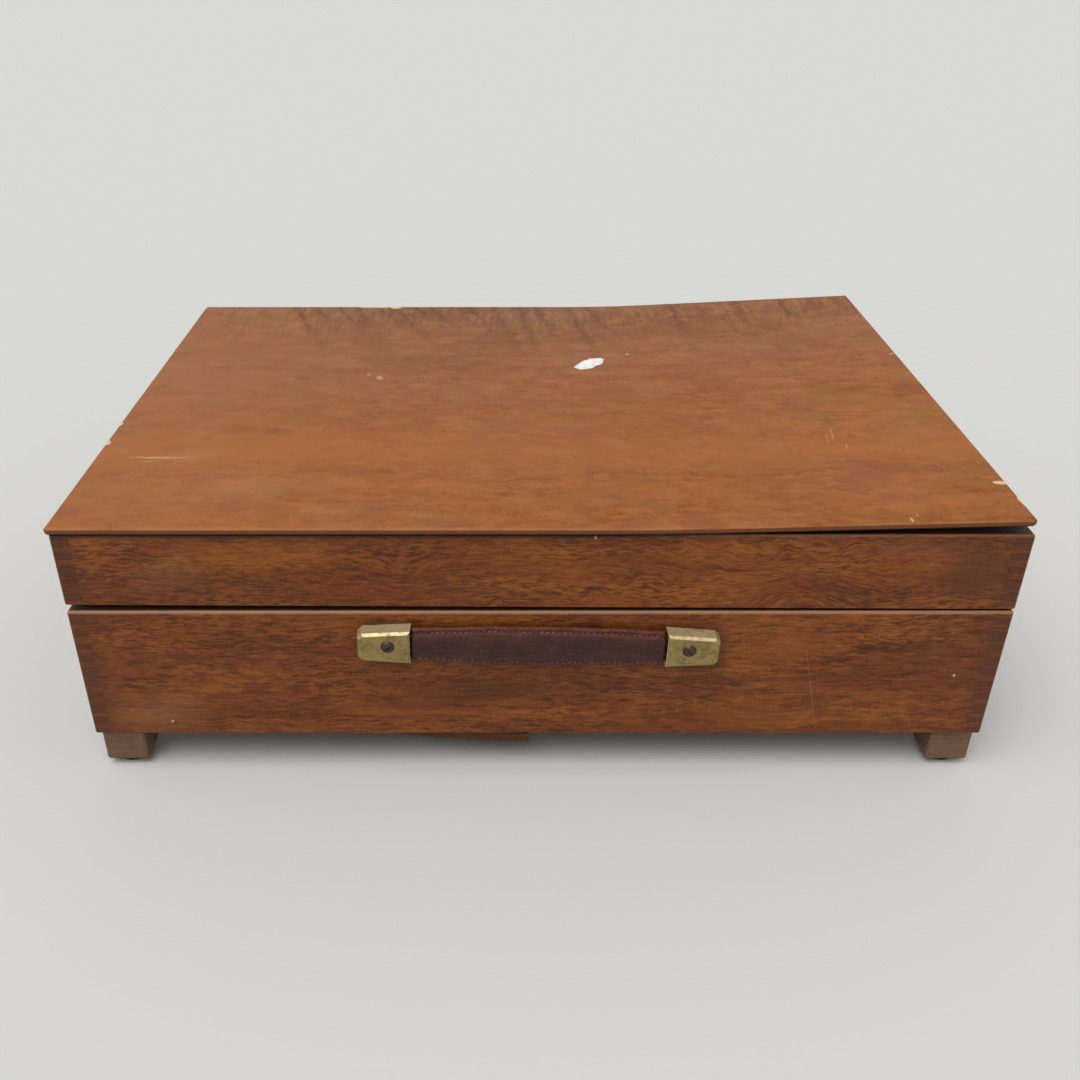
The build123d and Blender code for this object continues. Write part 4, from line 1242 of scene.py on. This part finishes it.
class CASE_OT_hooks(bpy.types.Operator):
    """Finish the swing hooks, and turn the heads of their screws and pegs"""

    bl_idname = "case.hooks"
    bl_label = "Hooks"

    def execute(self, context):
        hardware = context.scene.case_colours.hardware_brass
        brass = tarnished_brass("brass_cut_from_sheet", hardware, 6, 0.1)
        arris = context.scene.case_sizes.metal_arris
        dress(["left_hook", "right_hook", "hook_washers"], brass, arris)
        for name, body, radius in (
            ("hook_pivot_screws", "case_base", PIVOT_RADIUS),
            ("hook_pegs", "lid", PEG_RADIUS),
        ):
            low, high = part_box(name)
            centre = (low + high) / 2
            planes = []
            for side in (-1, 1):
                facing = Matrix.Rotation(side * math.pi / 2, 4, "Y")
                spot = ((high.x - HOOK_HEAD) * side, centre.y, centre.z)
                planes.append(Matrix.Translation(spot) @ facing)
            domed = name.replace("hook_", "hook_domed_")
            shape = (planes, radius, HOOK_HEAD, HOOK_SHANK)
            heads = new_piece(domed, brass, turned_heads, *shape)
            if name == "hook_pivot_screws":
                cut_slots(heads, planes, radius, HOOK_HEAD, HOOK_SLOT, HOOK_SLOT_TURNS)
            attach(heads, body)
            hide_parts(name)
        return {"FINISHED"}


class CASE_OT_linings(bpy.types.Operator):
    """Lay baize on the floor and in the lid"""

    bl_idname = "case.linings"
    bl_label = "Linings"

    def execute(self, context):
        baize = green_baize()
        for name, body, up, under in (
            ("floor_lining", "case_base", 1, "bottom_panel"),
            ("lid_lining", "lid", -1, "lid_top_panel"),
        ):
            cloth = new_piece("baize_" + name, baize, laid_cloth, name, up)
            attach(cloth, body)
            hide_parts(name)
        return {"FINISHED"}


# The light: how strong the surroundings and the sun are, and which way the sun stands.
SURROUNDINGS_STRENGTH = 0.5
SUN_STRENGTH = 1.9
SUN_ANGLE = math.radians(50)
SUN_TOWARD = Vector((-0.25, -0.4, 1.0))
# The camera: where it stands, how far it looks down, its lens in millimetres and its shift.
CAMERA_PLACE = (-21.3 * MM, -650.75 * MM, 432.5 * MM)
CAMERA_DOWN = math.radians(30.22)
CAMERA_LENS = 36.13
CAMERA_SHIFT = 0.0366


class CASE_OT_stage(bpy.types.Operator):
    """Set up the floor, the lights, the surroundings and the camera"""

    bl_idname = "case.stage"
    bl_label = "Stage"

    def execute(self, context):
        scene = context.scene
        # Matt paint: one even pale grey with hardly a shine.
        material, tree, colours = blank_material("studio_floor_painted")
        paint = add_node(tree, "BsdfPrincipled", {"Base Color": colours.floor, "Roughness": 0.9})
        add_node(tree, "OutputMaterial", {"Surface": paint})
        new_piece("floor", material, studio_floor, smooth=False)

        world = bpy.data.worlds.new("surroundings")
        scene.world = world
        world.use_nodes = True
        tree = world.node_tree
        tree.nodes.clear()
        path = add_node(tree, "LightPath")
        light = {"Color": (1.0, 0.99, 0.97, 1.0), "Strength": SURROUNDINGS_STRENGTH}
        soft = add_node(tree, "Background", light)
        seen = add_node(tree, "Background", {"Color": colours.backdrop, "Strength": 1.0})
        straight = path.outputs["Is Camera Ray"]
        for kind in ("Is Glossy Ray", "Is Transmission Ray"):
            rays = {0: straight, 1: path.outputs[kind]}
            straight = add_node(tree, "Math", rays, operation="MAXIMUM")
        both = add_node(tree, "MixShader", {"Fac": straight, 1: soft, 2: seen})
        add_node(tree, "OutputWorld", {"Surface": both})

        # A broad soft sun high over the front left, so that the whole floor is evenly lit.
        sun = bpy.data.lights.new("soft_sun", "SUN")
        sun.energy = SUN_STRENGTH
        sun.angle = SUN_ANGLE
        lamp = bpy.data.objects.new("soft_sun", sun)
        lamp.rotation_euler = SUN_TOWARD.to_track_quat("Z", "Y").to_euler()
        scene.collection.objects.link(lamp)

        view = bpy.data.cameras.new("camera")
        view.sensor_width = 36.0
        view.lens = CAMERA_LENS
        view.shift_x = CAMERA_SHIFT
        camera = bpy.data.objects.new("camera", view)
        camera.location = CAMERA_PLACE
        camera.rotation_euler = (math.radians(90) - CAMERA_DOWN, 0.0, 0.0)
        scene.collection.objects.link(camera)
        scene.camera = camera
        scene.view_settings.view_transform = "Standard"
        return {"FINISHED"}


class CASE_PT_panel(bpy.types.Panel):
    """Lists the steps that finish the case"""

    bl_idname = "CASE_PT_panel"
    bl_label = "Carrying case"
    bl_space_type = "VIEW_3D"
    bl_region_type = "UI"
    bl_category = "Case"

    def draw(self, context):
        for operator in OPERATORS:
            self.layout.operator(operator.bl_idname)
        for group in (context.scene.case_sizes, context.scene.case_colours):
            column = self.layout.column(heading=type(group).__name__)
            for name in group.__annotations__:
                column.prop(group, name)


OPERATORS = (
    CASE_OT_boards,
    CASE_OT_panels,
    CASE_OT_feet,
    CASE_OT_handle,
    CASE_OT_hinges,
    CASE_OT_hooks,
    CASE_OT_linings,
    CASE_OT_stage,
)
CLASSES = (CaseSizes, CaseColours, *OPERATORS, CASE_PT_panel)


def register():
    for cls in CLASSES:
        bpy.utils.register_class(cls)
    bpy.types.Scene.case_sizes = PointerProperty(type=CaseSizes)
    bpy.types.Scene.case_colours = PointerProperty(type=CaseColours)


def unregister():
    del bpy.types.Scene.case_colours
    del bpy.types.Scene.case_sizes
    for cls in reversed(CLASSES):
        bpy.utils.unregister_class(cls)


def main():
    """Runs every step in order."""
    register()
    bpy.ops.case.boards()
    bpy.ops.case.panels()
    bpy.ops.case.feet()
    bpy.ops.case.handle()
    bpy.ops.case.hinges()
    bpy.ops.case.hooks()
    bpy.ops.case.linings()
    bpy.ops.case.stage()


if __name__ == "__main__":
    main()
